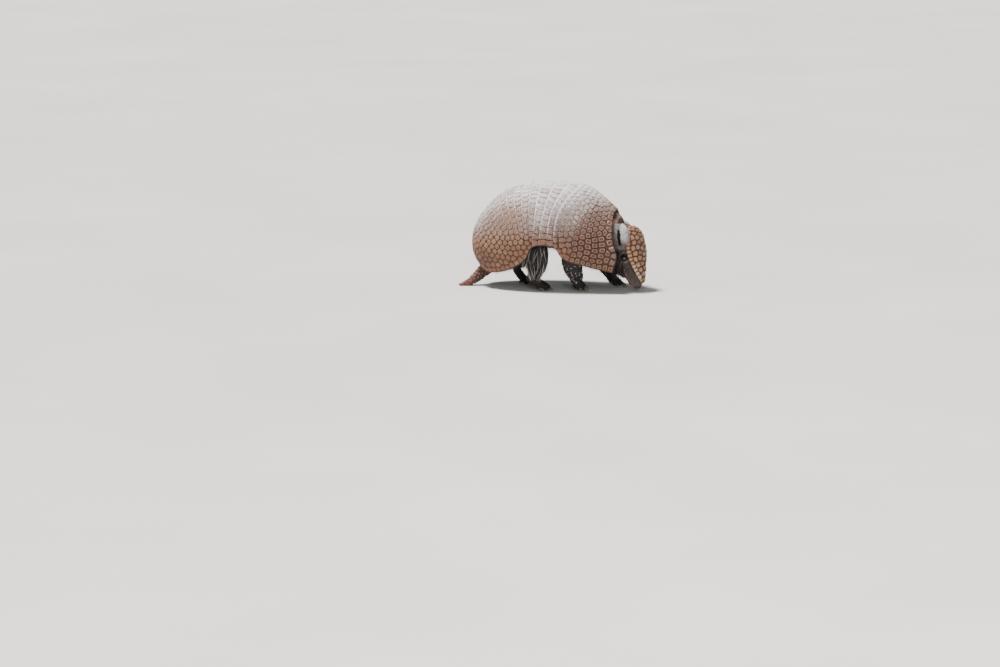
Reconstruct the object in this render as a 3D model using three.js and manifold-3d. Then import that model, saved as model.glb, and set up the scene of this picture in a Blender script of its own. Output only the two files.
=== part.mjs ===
// A southern three-banded armadillo, life size, walking with its nose to the ground.
// Millimetres. +X runs forward along the body, +Y to the animal's left, +Z up; z = 0 is the ground
// and the origin lies on it, under the middle of the animal's box.
import * as THREE from "three";
import { LoftGeometry } from "three/addons/geometries/LoftGeometry.js";
import { mergeGeometries, mergeVertices } from "three/addons/utils/BufferGeometryUtils.js";
import Module from "manifold-3d";

const wasm = await Module();
wasm.setup();

const { lerp, degToRad } = THREE.MathUtils;

// ---- Driving dimensions -------------------------------------------------------------------------

const GAP = 0.35; // between neighbouring solids
const PLATE = 2.4; // thickness of the shell's plates
const STEP_UP = 0.9; // how far a plate's rear edge stands over the plate behind it
const RIM_TUCK = 0.05; // how far the shell's lower edge draws in, as a share of its half width
const BAND_COUNT = 3;
const ORIGIN_SHIFT = new THREE.Vector3(-0.85, 0, 0); // brings the finished box's middle over the origin

const ARC_STEPS = 24; // facets from one lower edge of the shell over the back to the other
const TRUNK_SIDES = 20;
const LIMB_SIDES = 12;
const LIMB_STEPS = 8;
const CLAW_SIDES = 5;

// Stations along the shell, from the tail to the nape. crest is the middle of the back and rim the
// lower edge, as x, z. half is the half width, bow bends the cross line (1 is straight), square
// makes it boxier (2 is an ellipse), and dip is how far the belly hangs below the rim.
const STATIONS = [
  { crest: [-97, 27], rim: [-93, 24], half: 12, bow: 1, square: 2.0, dip: 0.5 },
  { crest: [-107, 47.5], rim: [-82, 22], half: 28, bow: 1, square: 2.0, dip: 2 },
  { crest: [-106.5, 71.5], rim: [-65, 24.5], half: 40, bow: 1, square: 2.1, dip: 4 },
  { crest: [-94, 98.5], rim: [-46, 31.5], half: 49, bow: 1, square: 2.2, dip: 6 },
  { crest: [-60, 128.5], rim: [-28.5, 44], half: 54.5, bow: 1, square: 2.3, dip: 8 },
  { crest: [-12, 139.7], rim: [-18.5, 60.5], half: 56.5, bow: 0.9, square: 2.4, dip: 10 },
  { crest: [38, 137.3], rim: [10, 60.5], half: 56, bow: 3, square: 2.4, dip: 10 },
  { crest: [51, 132], rim: [21, 46.5], half: 54.5, bow: 2.4, square: 2.45, dip: 8 },
  { crest: [65, 122], rim: [50, 37], half: 51, bow: 1.5, square: 2.5, dip: 7 },
  { crest: [83, 105], rim: [84.5, 28.5], half: 45, bow: 1, square: 2.7, dip: 6 },
];
const TAIL_END = 0;
const PELVIC_EDGE = 5; // the bands lie between these two stations
const SCAPULAR_EDGE = 6;
const NAPE = STATIONS.length - 1;
const LOBE = { reach: 7, centre: 0.28, spread: 0.2 }; // the forward lobe beside the cheek

// The head, in its own frame: +X towards the nose, +Z out of the crown. Each row is a distance from
// the back of the skull, the crown and throat heights there, and the half width.
const HEAD = { at: [98, -3, 79.5], nod: 75, turn: -8, swing: -9 };
const SKULL = [
  [-7, 3, -11, 8],
  [1, 12, -18, 16],
  [12, 15.5, -23, 19.5],
  [24, 16, -25, 19.5],
  [35, 15, -24, 17.5],
  [47, 12, -20.5, 13.5],
  [59, 8.8, -17, 10.2],
  [70, 6.4, -13.5, 8.4],
  [78.5, 3.6, -8.5, 5.8],
];
// Head shield rows: distance, crown height, half width, and how far its margin drops.
const SHIELD = [
  [-3, 9, 11, 3],
  [2, 15, 18, 9],
  [11, 18.8, 22.5, 15.5],
  [24, 19.4, 23, 19.5],
  [37, 18.2, 20, 19.5],
  [49, 15, 15.5, 15],
  [61, 11.4, 10.5, 9.5],
  [72, 8.2, 5.5, 4],
];
const SHIELD_PLATE = 2;
const EYE = { at: [36.5, 17.6, -7], radius: 3.6 };
const EAR = { length: 33, width: 12.5, wall: 1.5 };
// Where each ear leaves the skull, how far it lies back, and how far it stands out.
const EARS = {
  left: { at: [15, 16, -8], lean: 195, flare: 16 },
  right: { at: [24, -16, -8], lean: 168, flare: 14 },
};

const TAIL = [
  [-78, 0, 31, 8.8],
  [-92, -1, 20.5, 8],
  [-100.5, -4, 12.3, 6.6],
  [-108.5, -9, 6, 5],
  [-116, -12.5, 2.7, 3.4],
  [-122.5, -15, 1.3, 2],
];

// Legs. Each row is a point on the leg's middle line, and its half sizes fore-and-aft and sideways.
const LEGS = {
  hindleg_right: [
    [[-17, -33, 61], 15, 9],
    [[-16, -40, 49], 17, 9],
    [[-16, -38, 36], 15.5, 8.5],
    [[-18, -33, 25], 11.5, 7.5],
    [[-21, -29, 16], 7.5, 6.4],
  ],
  hindleg_left: [
    [[-34, 30, 56], 14, 9],
    [[-38, 35, 46], 14, 9],
    [[-43, 30, 39], 11.5, 8.5],
    [[-48, 23, 31], 9, 7.6],
    [[-50, 20, 23], 7.4, 6.8],
  ],
  foreleg_right: [
    [[28, -28, 57], 13, 9],
    [[31, -36, 43], 14.5, 9],
    [[32, -34, 31], 13, 8.5],
    [[35, -29, 20], 10, 7.4],
    [[37, -25, 12], 7, 6.6],
  ],
  foreleg_left: [
    [[42, 27, 57], 13, 9],
    [[47, 33, 45], 13, 9],
    [[55, 29, 34], 11, 8.5],
    [[68, 20, 22], 8, 7.2],
    [[76, 15, 12], 6.6, 6.6],
  ],
};
// Foot rows: distance ahead of the ankle, heights of the top and the sole, half width. Both hind feet
// have their heels off the ground, the left one higher. A sole below 0 is cut flat by the ground.
const HIND_FOOT_RAISED = [
  [-10, 19.1, 11.9, 4],
  [-7, 21.4, 8.6, 6],
  [0, 20.2, 5, 7.2],
  [8, 14.6, 1.8, 8.2],
  [15, 9.6, -0.8, 8.6],
  [20, 7.3, -0.7, 7.4],
];
const HIND_FOOT_TIPPED = [
  [-7.5, 25.1, 17.9, 4.4],
  [-5.5, 26.4, 13.6, 6],
  [-1, 23.9, 7.1, 7.2],
  [4, 17.6, 2.4, 8],
  [8.5, 11.6, -0.8, 8.4],
  [12, 7.7, -0.7, 7.4],
];
const FORE_FOOT = [
  [-6, 14.1, 6.9, 4],
  [-3, 16, 4, 6.4],
  [2, 15.2, 2, 7.4],
  [7, 11.8, 1.8, 7.2],
  [10.5, 9, 2.6, 5.6],
];
// Feet, each at its ankle or wrist and turned out from the body's line. claws is how far ahead the
// longest claw leaves the foot.
const FEET = {
  hindfoot_right: { at: [-20, -28, 0], toeOut: -8, rows: HIND_FOOT_RAISED, claws: 17 },
  hindfoot_left: { at: [-50, 19, 0], toeOut: 8, rows: HIND_FOOT_TIPPED, claws: 9.5 },
  forefoot_right: { at: [36, -25, 0], toeOut: -8, rows: FORE_FOOT, claws: 8 },
  forefoot_left: { at: [78, 14, 0], toeOut: 2, rows: FORE_FOOT, claws: 8 },
};
// Claws: where each leaves its foot (behind the longest one, out to the side), how far it reaches,
// how far it drops, its half thickness, and how high it starts.
const HIND_CLAWS = [
  { behind: 6, side: -7.8, reach: 6, drop: 3.8, thick: 1.5, high: 3.2 },
  { behind: 1, side: -4.7, reach: 8, drop: 4.3, thick: 2.3, high: 3.7 },
  { behind: 0, side: 0, reach: 9, drop: 4.6, thick: 2.6, high: 3.9 },
  { behind: 1, side: 4.7, reach: 8, drop: 4.3, thick: 2.3, high: 3.7 },
  { behind: 6, side: 7.8, reach: 6, drop: 3.8, thick: 1.5, high: 3.2 },
];
const FORE_CLAWS = [
  { behind: 4, side: -5.6, reach: 6, drop: 6.4, thick: 1.4, high: 5.4 },
  { behind: 0.5, side: -2.9, reach: 8.5, drop: 7.4, thick: 2, high: 6.4 },
  { behind: 0, side: 1.3, reach: 10.5, drop: 7.8, thick: 2.6, high: 6.8 },
  { behind: 2, side: 5, reach: 7.5, drop: 7, thick: 1.8, high: 6 },
];

// ---- Solids -------------------------------------------------------------------------------------

// A geometry as a manifold solid, moved by a matrix.
function solidOf(geometry, matrix = new THREE.Matrix4()) {
  const bare = new THREE.BufferGeometry()
    .setAttribute("position", geometry.getAttribute("position").clone())
    .setIndex(geometry.index.clone())
    .applyMatrix4(matrix);
  const merged = mergeVertices(bare, 1e-3);
  return new wasm.Manifold(
    new wasm.Mesh({
      numProp: 3,
      vertProperties: merged.attributes.position.array,
      triVerts: new Uint32Array(merged.index.array),
    }),
  );
}

function geometryOf(solid) {
  const mesh = solid.getMesh();
  return new THREE.BufferGeometry()
    .setAttribute("position", new THREE.BufferAttribute(new Float32Array(mesh.vertProperties), 3))
    .setIndex(new THREE.BufferAttribute(new Uint32Array(mesh.triVerts), 1));
}

// Six times the volume a closed geometry holds, negative where its faces point inwards.
function signedVolume(geometry) {
  const place = geometry.getAttribute("position");
  const [a, b, c] = [new THREE.Vector3(), new THREE.Vector3(), new THREE.Vector3()];
  let sum = 0;
  for (let i = 0; i < geometry.index.count; i += 3) {
    a.fromBufferAttribute(place, geometry.index.getX(i));
    b.fromBufferAttribute(place, geometry.index.getX(i + 1));
    c.fromBufferAttribute(place, geometry.index.getX(i + 2));
    sum += a.dot(b.cross(c));
  }
  return sum;
}

// A closed body lofted through rings of points, with its faces pointing out.
function loft(rings) {
  const caps = { capStart: true, capEnd: true };
  const geometry = new LoftGeometry(rings, caps);
  const turned = rings.map((ring) => [...ring].reverse());
  return signedVolume(geometry) > 0 ? geometry : new LoftGeometry(turned, caps);
}

// A thick sheet, from rows that each hold an outer and an inner line of points. The ends are closed
// by ribbons from the outer line to the inner one, so a row may curl round as far as it likes.
function sheet(rows) {
  const build = (lines) => {
    const turn = ({ outer, inner }) => [[...outer].reverse(), [...inner].reverse()];
    const last = lines[lines.length - 1];
    return mergeGeometries([
      new LoftGeometry(lines.map(({ outer, inner }) => [...outer, ...[...inner].reverse()])),
      new LoftGeometry(turn(lines[0]), { closed: false }),
      new LoftGeometry([last.outer, last.inner], { closed: false }),
    ]);
  };
  const geometry = build(rows);
  const turned = rows.map(({ outer, inner }) => ({
    outer: [...outer].reverse(),
    inner: [...inner].reverse(),
  }));
  return signedVolume(geometry) > 0 ? geometry : build(turned);
}

// A sheet whose outer skin is spot(along, across), both running from 0 to 1 and ordered so that their
// cross product points outwards. grow swells it on every side, and lift raises its two ends.
function sheetOf(spot, rows, steps, thickness, grow = 0, lift = [0, 0]) {
  const step = 0.004;
  const between = (share) => [Math.max(share - step, 0), Math.min(share + step, 1)];
  const side = (i, count) => grow * ((i === count) - (i === 0));
  const lines = [];
  for (let i = 0; i <= rows; i++) {
    const [outer, inner] = [[], []];
    for (let j = 0; j <= steps; j++) {
      const [u, v] = [i / rows, j / steps];
      const [[u0, u1], [v0, v1]] = [between(u), between(v)];
      const along = spot(u1, v).sub(spot(u0, v)).normalize();
      const across = spot(u, v1).sub(spot(u, v0)).normalize();
      const normal = along.clone().cross(across).normalize();
      const raise = lerp(lift[0], lift[1], u);
      const place = spot(u, v)
        .addScaledVector(along, side(i, rows))
        .addScaledVector(across, side(j, steps))
        .addScaledVector(normal, raise);
      outer.push(place.clone().addScaledVector(normal, grow));
      inner.push(place.clone().addScaledVector(normal, -thickness - grow));
    }
    lines.push({ outer, inner });
  }
  return sheet(lines);
}

function meshOf(name, geometry, material) {
  const mesh = new THREE.Mesh(geometry, material.clone());
  mesh.name = name;
  return mesh;
}

// Cuts world-space solids out of a mesh that is already placed, and keeps its largest piece.
function carve(mesh, cutters) {
  mesh.updateWorldMatrix(true, false);
  let solid = solidOf(mesh.geometry, mesh.matrixWorld);
  for (const cutter of cutters) solid = solid.subtract(cutter);
  const pieces = solid.decompose();
  const largest = pieces.reduce((a, b) => (b.volume() > a.volume() ? b : a));
  mesh.geometry = geometryOf(largest).applyMatrix4(mesh.matrixWorld.clone().invert());
}

// ---- Shell --------------------------------------------------------------------------------------

const crestLine = new THREE.CatmullRomCurve3(
  STATIONS.map((s) => new THREE.Vector3(s.crest[0], 0, s.crest[1])),
);
const rimLine = new THREE.CatmullRomCurve3(
  STATIONS.map((s) => new THREE.Vector3(s.rim[0], 0, s.rim[1])),
);
const formLine = new THREE.CatmullRomCurve3(
  STATIONS.map((s) => new THREE.Vector3(s.half, s.bow, s.square)),
);
const dipLine = new THREE.CatmullRomCurve3(STATIONS.map((s, i) => new THREE.Vector3(i, s.dip, 0)));

// How far the forward lobe carries a point ahead, at a station and a height up the side.
function lobeReach(station, up) {
  const share = THREE.MathUtils.smoothstep(station, SCAPULAR_EDGE + 1.5, NAPE);
  const off = (up - LOBE.centre) / LOBE.spread;
  return LOBE.reach * share * Math.exp(-off * off);
}

// A point in a station's cross line: up runs from 0 at the rim to 1 at the crest, y is sideways.
function stationPoint(station, up, y) {
  const share = station / NAPE;
  const crest = crestLine.getPoint(share);
  const rim = rimLine.getPoint(share);
  const { y: bow } = formLine.getPoint(share);
  const ahead = Math.sign(up) * Math.abs(up) ** bow;
  return new THREE.Vector3(
    lerp(rim.x, crest.x, ahead) + lobeReach(station, up),
    y,
    lerp(rim.z, crest.z, up),
  );
}

// The shell's outer surface. turn is -1 at the right rim, 0 at the crest and 1 at the left rim.
function shellPoint(station, turn) {
  const { x: half, z: square } = formLine.getPoint(station / NAPE);
  const angle = (turn * Math.PI) / 2;
  const up = Math.max(Math.cos(angle), 0) ** (2 / square);
  const out = Math.sign(angle) * Math.abs(Math.sin(angle)) ** (2 / square);
  const tuck = 1 - RIM_TUCK * (1 - up) ** 3;
  return stationPoint(station, up, out * half * tuck);
}

// One plate of the shell between two stations.
function plate({ from, to, rows, lift }, grow = 0) {
  const spot = (along, across) => shellPoint(lerp(from, to, along), lerp(-1, 1, across));
  return sheetOf(spot, rows, ARC_STEPS, PLATE, grow, lift);
}

const seam = 0.018; // half the slit between two plates, in stations
const bandEdge = (i) => lerp(PELVIC_EDGE, SCAPULAR_EDGE, i / BAND_COUNT);
const sloped = [0, -STEP_UP]; // each plate's rear edge stands up and its front edge tucks under
const PLATES = {
  shell_pelvic: { from: TAIL_END, to: PELVIC_EDGE - seam, rows: 12, lift: sloped },
  shell_band_rear: { from: bandEdge(0) + seam, to: bandEdge(1) - seam, rows: 2, lift: sloped },
  shell_band_middle: { from: bandEdge(1) + seam, to: bandEdge(2) - seam, rows: 2, lift: sloped },
  shell_band_front: { from: bandEdge(2) + seam, to: SCAPULAR_EDGE - seam, rows: 2, lift: sloped },
  shell_scapular: { from: SCAPULAR_EDGE + seam, to: NAPE, rows: 9, lift: [0, 0] },
};

// ---- Trunk --------------------------------------------------------------------------------------

const TRUNK = { from: 1.5, to: 8.7, rows: 13, narrow: 0.86, clear: PLATE + STEP_UP + 2 * GAP };

// A cross section of the trunk: a rounded box that hangs below the rim by the belly's dip. spread
// presses it in wherever it would reach past the roof and walls that the shell leaves it.
function trunkRing(station, grow) {
  const share = station / NAPE;
  const { x: half, z: square } = formLine.getPoint(share);
  const height = crestLine.getPoint(share).distanceTo(rimLine.getPoint(share));
  const belly = dipLine.getPoint(share).y / height;
  const [roof, wall] = [1 - (TRUNK.clear - grow) / height, half - (TRUNK.clear - grow)];
  const [middle, rise] = [(1 - belly) / 2, (1 + belly) / 2 + grow / height];
  const ring = [];
  for (let j = 0; j < TRUNK_SIDES; j++) {
    const angle = (j / TRUNK_SIDES) * 2 * Math.PI;
    const [c, s] = [Math.cos(angle), Math.sin(angle)];
    let up = middle + rise * Math.sign(c) * Math.abs(c) ** (2 / square);
    let y = (half * TRUNK.narrow + grow) * Math.sign(s) * Math.abs(s) ** (2 / square);
    const spread = (Math.abs(y / wall) ** square + Math.max(up / roof, 0) ** square) ** (1 / square);
    if (spread > 1) {
      y /= spread;
      up = up > 0 ? up / spread : up;
    }
    ring.push(stationPoint(station, up, y));
  }
  return ring;
}

function trunk(grow = 0) {
  const rings = [];
  const reach = grow / 15; // the ends swell too, in stations
  for (let i = 0; i <= TRUNK.rows; i++)
    rings.push(trunkRing(lerp(TRUNK.from - reach, TRUNK.to + reach, i / TRUNK.rows), grow));
  return loft(rings);
}

// ---- Head, limbs and tail -----------------------------------------------------------------------

// Rows of numbers, read anywhere between the first and the last by a smooth curve through each column.
function readRows(rows) {
  const columns = rows[0].map(
    (_, c) => new THREE.SplineCurve(rows.map((row, i) => new THREE.Vector2(i, row[c]))),
  );
  return (share) => columns.map((curve) => curve.getPoint(share).y);
}

// An oval ring about a point, in the plane of two directions.
function oval(centre, right, up, halfRight, halfUp, sides) {
  const ring = [];
  for (let j = 0; j < sides; j++) {
    const angle = (j / sides) * 2 * Math.PI;
    ring.push(
      centre
        .clone()
        .addScaledVector(right, Math.cos(angle) * halfRight)
        .addScaledVector(up, Math.sin(angle) * halfUp),
    );
  }
  return ring;
}

const SIDE = new THREE.Vector3(0, 1, 0);
const UP = new THREE.Vector3(0, 0, 1);

// A body along +X from level rows of distance, top, bottom and half width.
function levelBody(rowTable, steps, sides, grow) {
  const read = readRows(rowTable);
  const rings = [];
  for (let i = 0; i <= steps; i++) {
    const [ahead, top, bottom, half] = read(i / steps);
    const end = grow * ((i === steps) - (i === 0));
    const centre = new THREE.Vector3(ahead + end, 0, (top + bottom) / 2);
    rings.push(oval(centre, SIDE, UP, half + grow, (top - bottom) / 2 + grow, sides));
  }
  return loft(rings);
}

const skull = (grow = 0) => levelBody(SKULL, 14, 14, grow);
const foot = (rows, grow = 0) => levelBody(rows, 6, LIMB_SIDES, grow);

function headShield(grow = 0) {
  const read = readRows(SHIELD);
  const spot = (along, across) => {
    const [ahead, crown, half, drop] = read(along);
    const out = lerp(-1, 1, across);
    return new THREE.Vector3(ahead, out * half, crown - drop * Math.abs(out) ** 2.2);
  };
  return sheetOf(spot, 9, 8, SHIELD_PLATE, grow);
}

// A tapering limb: rows of [[x, y, z], half size fore-and-aft, half size sideways].
function limb(rows, steps, grow = 0) {
  const line = new THREE.CatmullRomCurve3(rows.map(([at]) => new THREE.Vector3(...at)));
  const sizes = readRows(rows.map(([, fore, side]) => [fore, side]));
  const rings = [];
  for (let i = 0; i <= steps; i++) {
    const share = i / steps;
    const tangent = line.getTangent(share);
    const fore = SIDE.clone().cross(tangent).normalize();
    const side = tangent.clone().cross(fore).normalize();
    const [halfFore, halfSide] = sizes(share);
    rings.push(oval(line.getPoint(share), fore, side, halfFore + grow, halfSide + grow, LIMB_SIDES));
  }
  return loft(rings);
}

// A claw that leaves its foot level and bends down to the ground.
function claw({ reach, drop, thick, high }) {
  const inside = 3;
  const bend = new THREE.QuadraticBezierCurve3(
    new THREE.Vector3(-inside, 0, high),
    new THREE.Vector3(reach * 0.6, 0, high + 0.5),
    new THREE.Vector3(reach, 0, high - drop),
  );
  const rings = [];
  const steps = 3;
  for (let i = 0; i <= steps; i++) {
    const share = i / steps;
    const up = bend.getTangent(share).cross(SIDE).normalize();
    const half = thick * (1 - 0.72 * share ** 1.6);
    rings.push(oval(bend.getPoint(share), SIDE, up, half, half * 0.85, CLAW_SIDES));
  }
  return loft(rings);
}

// A cupped ear standing along +X: its sides roll in to a slit near the root and open to a cup.
function ear(hand, grow = 0) {
  const spot = (along, across) => {
    const swell = Math.sin(Math.PI * Math.min(along * 0.72 + 0.06, 1));
    const fade = Math.sqrt(Math.max(1 - along ** 4, 0.06));
    const width = EAR.width * (0.42 + 0.58 * swell) * fade;
    const roll = degToRad(lerp(150, 88, along));
    const angle = hand * lerp(roll, -roll, across);
    const [out, side] = [-hand * 0.62 * Math.cos(angle), Math.sin(angle)];
    return new THREE.Vector3(along * EAR.length, width * out, width * side);
  };
  return sheetOf(spot, 6, 7, EAR.wall, grow);
}

function tail(grow = 0) {
  return limb(
    TAIL.map(([x, y, z, radius]) => [[x, y, z], radius, radius]),
    8,
    grow,
  );
}

// ---- The animal ---------------------------------------------------------------------------------

const finish = (color, roughness) =>
  new THREE.MeshStandardMaterial({ color, roughness, metalness: 0 });
const SCUTE = finish(0xa98672, 0.8);
const CROWN = finish(0x9a6a48, 0.75);
const HIDE = finish(0x4a403c, 0.85);
const EAR_SKIN = finish(0x8d8583, 0.85);
const TAIL_SKIN = finish(0x9c6f62, 0.85);
const HORN = finish(0x6b5a48, 0.6);
const EYEBALL = finish(0x120d0b, 0.15);

const armadillo = new THREE.Group();
armadillo.position.copy(ORIGIN_SHIFT);

for (const [name, spec] of Object.entries(PLATES))
  armadillo.add(meshOf(name, geometryOf(solidOf(plate(spec))), SCUTE));
armadillo.add(meshOf("trunk", trunk(), HIDE));
armadillo.add(meshOf("tail", tail(), TAIL_SKIN));
armadillo.updateMatrixWorld(true);

// A solid in the animal's frame, placed in the world to cut other meshes with.
const placed = (geometry, holder = armadillo) => {
  holder.updateWorldMatrix(true, false);
  return solidOf(geometry, holder.matrixWorld);
};
const floor = solidOf(
  mergeVertices(new THREE.BoxGeometry(600, 400, 60).deleteAttribute("normal").deleteAttribute("uv")),
  new THREE.Matrix4().makeTranslation(0, 0, -30),
);
const plateCutters = Object.values(PLATES).map((spec) => placed(plate(spec, GAP)));
const trunkCutter = placed(trunk(GAP));

// Head, on a group that swings sideways and one that nods and turns.
const neckJoint = new THREE.Group();
neckJoint.position.set(...HEAD.at);
neckJoint.rotation.x = degToRad(HEAD.swing);
const headGroup = new THREE.Group();
headGroup.rotation.set(0, degToRad(HEAD.nod), degToRad(HEAD.turn), "ZYX");
neckJoint.add(headGroup);
armadillo.add(neckJoint);

const head = meshOf("head", skull(), HIDE);
const crown = meshOf("head_shield", headShield(), CROWN);
headGroup.add(head, crown);
const headCutters = [placed(skull(GAP), headGroup), placed(headShield(GAP), headGroup)];

const eyes = [];
const ears = [];
for (const [hand, side] of [[1, "left"], [-1, "right"]]) {
  const [x, y, z] = EYE.at;
  const ball = mergeVertices(
    new THREE.SphereGeometry(EYE.radius, 10, 7).deleteAttribute("normal").deleteAttribute("uv"),
  );
  const eye = meshOf("eye_" + side, ball, EYEBALL);
  eye.position.set(x, hand * y, z);
  const socket = ball.clone().scale(1 + GAP / EYE.radius, 1 + GAP / EYE.radius, 1 + GAP / EYE.radius);
  const { at, lean, flare } = EARS[side];
  const pinna = meshOf("ear_" + side, ear(hand), EAR_SKIN);
  pinna.position.set(...at);
  pinna.rotation.set(0, degToRad(-lean), degToRad(hand * -flare), "ZYX");
  headGroup.add(eye, pinna);
  headCutters.push(placed(ear(hand, GAP), pinna));
  eyes.push(placed(socket, eye));
  ears.push(pinna);
}
carve(head, [...eyes, headCutters[1]]);
for (const pinna of ears) carve(pinna, [trunkCutter, headCutters[0], headCutters[1], ...plateCutters]);

// The neck joins the trunk to the back of the head.
const NECK = [
  [[60, 0, 73], 25, 27],
  [[76, -1, 66], 24, 25],
  [[90, -3, 58], 22, 20],
  [[103, -5, 51], 18, 16],
];
const neck = meshOf("neck", limb(NECK, 5), HIDE);
armadillo.add(neck);
carve(neck, [trunkCutter, ...headCutters, ...plateCutters]);

carve(armadillo.getObjectByName("trunk"), plateCutters);
carve(armadillo.getObjectByName("tail"), [trunkCutter, ...plateCutters, floor]);

// Legs, then feet cut back from the legs, then claws cut back from the feet.
for (const [name, rows] of Object.entries(LEGS)) {
  const leg = meshOf(name, limb(rows, LIMB_STEPS), HIDE);
  armadillo.add(leg);
  carve(leg, [trunkCutter, ...plateCutters]);

  const footName = name.replace("leg", "foot");
  const { at, toeOut, rows: footRows, claws } = FEET[footName];
  const footMesh = meshOf(footName, foot(footRows), HIDE);
  footMesh.position.set(...at);
  footMesh.rotation.z = degToRad(toeOut);
  armadillo.add(footMesh);
  carve(footMesh, [placed(limb(rows, LIMB_STEPS, GAP)), trunkCutter, floor]);

  const footCutter = placed(foot(footRows, GAP), footMesh);
  (name.startsWith("hind") ? HIND_CLAWS : FORE_CLAWS).forEach((spec, i) => {
    const nail = meshOf(`${footName.replace("foot", "claw")}_${i + 1}`, claw(spec), HORN);
    nail.position.set(claws - spec.behind, spec.side, 0);
    nail.rotation.z = Math.atan2(spec.side, 40);
    footMesh.add(nail);
    carve(nail, [footCutter, floor]);
  });
}

export default armadillo;
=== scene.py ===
# %% [markdown]
# # A southern three-banded armadillo, life size
# A museum model is built in layers: a body, a skin over it, and the horny shell, claws and hairs on
# top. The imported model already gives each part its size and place, so this lesson only dresses it.
# The frame is loaded first, because every piece made here rides on it and stays inside its box.

# %% Load the frame
import math

import bmesh
import bpy
import numpy as np
from mathutils import Matrix, Vector, noise
from mathutils.bvhtree import BVHTree
from mathutils.geometry import barycentric_transform
from mathutils.kdtree import KDTree


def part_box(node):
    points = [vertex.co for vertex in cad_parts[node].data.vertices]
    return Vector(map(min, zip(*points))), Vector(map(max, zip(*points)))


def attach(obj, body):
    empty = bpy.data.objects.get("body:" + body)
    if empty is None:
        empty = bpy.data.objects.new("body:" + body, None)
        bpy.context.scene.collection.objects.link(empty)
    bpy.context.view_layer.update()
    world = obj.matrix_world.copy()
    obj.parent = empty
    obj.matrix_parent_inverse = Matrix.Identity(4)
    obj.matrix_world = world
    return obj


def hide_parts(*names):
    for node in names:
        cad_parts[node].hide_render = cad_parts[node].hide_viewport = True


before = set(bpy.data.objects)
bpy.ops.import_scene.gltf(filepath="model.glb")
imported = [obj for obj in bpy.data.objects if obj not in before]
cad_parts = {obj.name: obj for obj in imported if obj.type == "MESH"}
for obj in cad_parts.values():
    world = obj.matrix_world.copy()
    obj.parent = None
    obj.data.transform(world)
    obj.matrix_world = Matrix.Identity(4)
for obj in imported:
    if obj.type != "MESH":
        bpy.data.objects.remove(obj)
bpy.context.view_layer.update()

MM = 0.001


# %% [markdown]
# ## Smooth lines
# A living form is described best by a few rows of sizes with a smooth line read between them. Blender
# has curve objects for this, but a short function is quicker to read at thousands of places at once.
# With even=False the line allows for how far apart its points are, so it doesn't overshoot.

# %% A smooth line through a few points
def read_line(points, at, even=False):
    """Reads a smooth line through points; at runs from 0 at the first to 1 at the last."""
    points = np.asarray(points, float)
    place = np.clip(np.asarray(at, float), 0, 1) * (len(points) - 1)
    index = np.minimum(place.astype(int), len(points) - 2)
    share = (place - index)[..., None]
    first, last = points[0], points[-1]
    if not even:
        first, last = 2 * first - points[1], 2 * last - points[-2]
    padded = np.vstack([first, points, last])
    a, b, c, d = (padded[index + k] for k in range(4))

    def gap(p, q):
        return np.ones(p.shape[:-1] + (1,)) if even else np.sum((q - p) ** 2, -1, keepdims=True) ** 0.25

    ab, bc, cd = gap(a, b), gap(b, c), gap(c, d)
    enter = ((b - a) / ab - (c - a) / (ab + bc) + (c - b) / bc) * bc
    leave = ((c - b) / bc - (d - b) / (bc + cd) + (d - c) / cd) * bc
    bend = (3 * (c - b) - 2 * enter - leave) * share**2 + (2 * (b - c) + enter + leave) * share**3
    return b + enter * share + bend


def mix(a, b, share):
    return a + (b - a) * share


def ramp(value, low, high):
    """0 below low, 1 above high, and an easy slope between them."""
    share = np.clip((value - low) / (high - low), 0, 1)
    return share * share * (3 - 2 * share)


# %% [markdown]
# ## The shell's surface
# The shell is one vault, from the tail notch over the back to the nape. Ten cross lines give it: each
# has a crest, a rim, a half width and a squareness. Reading a grid of it once, with even steps from rim
# to rim, makes a surface that any scale can be laid on and that agrees with the solids.

# %% The vault of the shell
CREST = [(-97, 27), (-107, 47.5), (-106.5, 71.5), (-94, 98.5), (-60, 128.5), (-12, 139.7),
         (38, 137.3), (51, 132), (65, 122), (83, 105)]
RIM = [(-93, 24), (-82, 22), (-65, 24.5), (-46, 31.5), (-28.5, 44), (-18.5, 60.5),
       (10, 60.5), (21, 46.5), (50, 37), (84.5, 28.5)]
FORM = [(12, 1, 2.0), (28, 1, 2.0), (40, 1, 2.1), (49, 1, 2.2), (54.5, 1, 2.3), (56.5, 0.9, 2.4),
        (56, 3, 2.4), (54.5, 2.4, 2.45), (51, 1.5, 2.5), (45, 1, 2.7)]  # half width, bow, squareness
STATIONS = len(CREST) - 1
ORIGIN_SHIFT = -0.85  # along x, in mm


def vault(station, turn):
    """A point of the shell in mm: turn runs from -1 at the right rim to 1 at the left one."""
    share = station / STATIONS
    crest, rim, form = read_line(CREST, share), read_line(RIM, share), read_line(FORM, share)
    half, bow, square = np.moveaxis(form, -1, 0)
    angle = turn * math.pi / 2
    up = np.maximum(np.cos(angle), 0) ** (2 / square)
    out = np.sign(angle) * np.abs(np.sin(angle)) ** (2 / square)
    lobe = 7 * ramp(station, 7.5, 9) * np.exp(-(((up - 0.28) / 0.2) ** 2))
    x = mix(rim[..., 0], crest[..., 0], up**bow) + lobe + ORIGIN_SHIFT
    y = out * half * (1 - 0.05 * (1 - up) ** 3)
    z = mix(rim[..., 1], crest[..., 1], up)
    return np.stack([x, y, z], -1)


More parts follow.
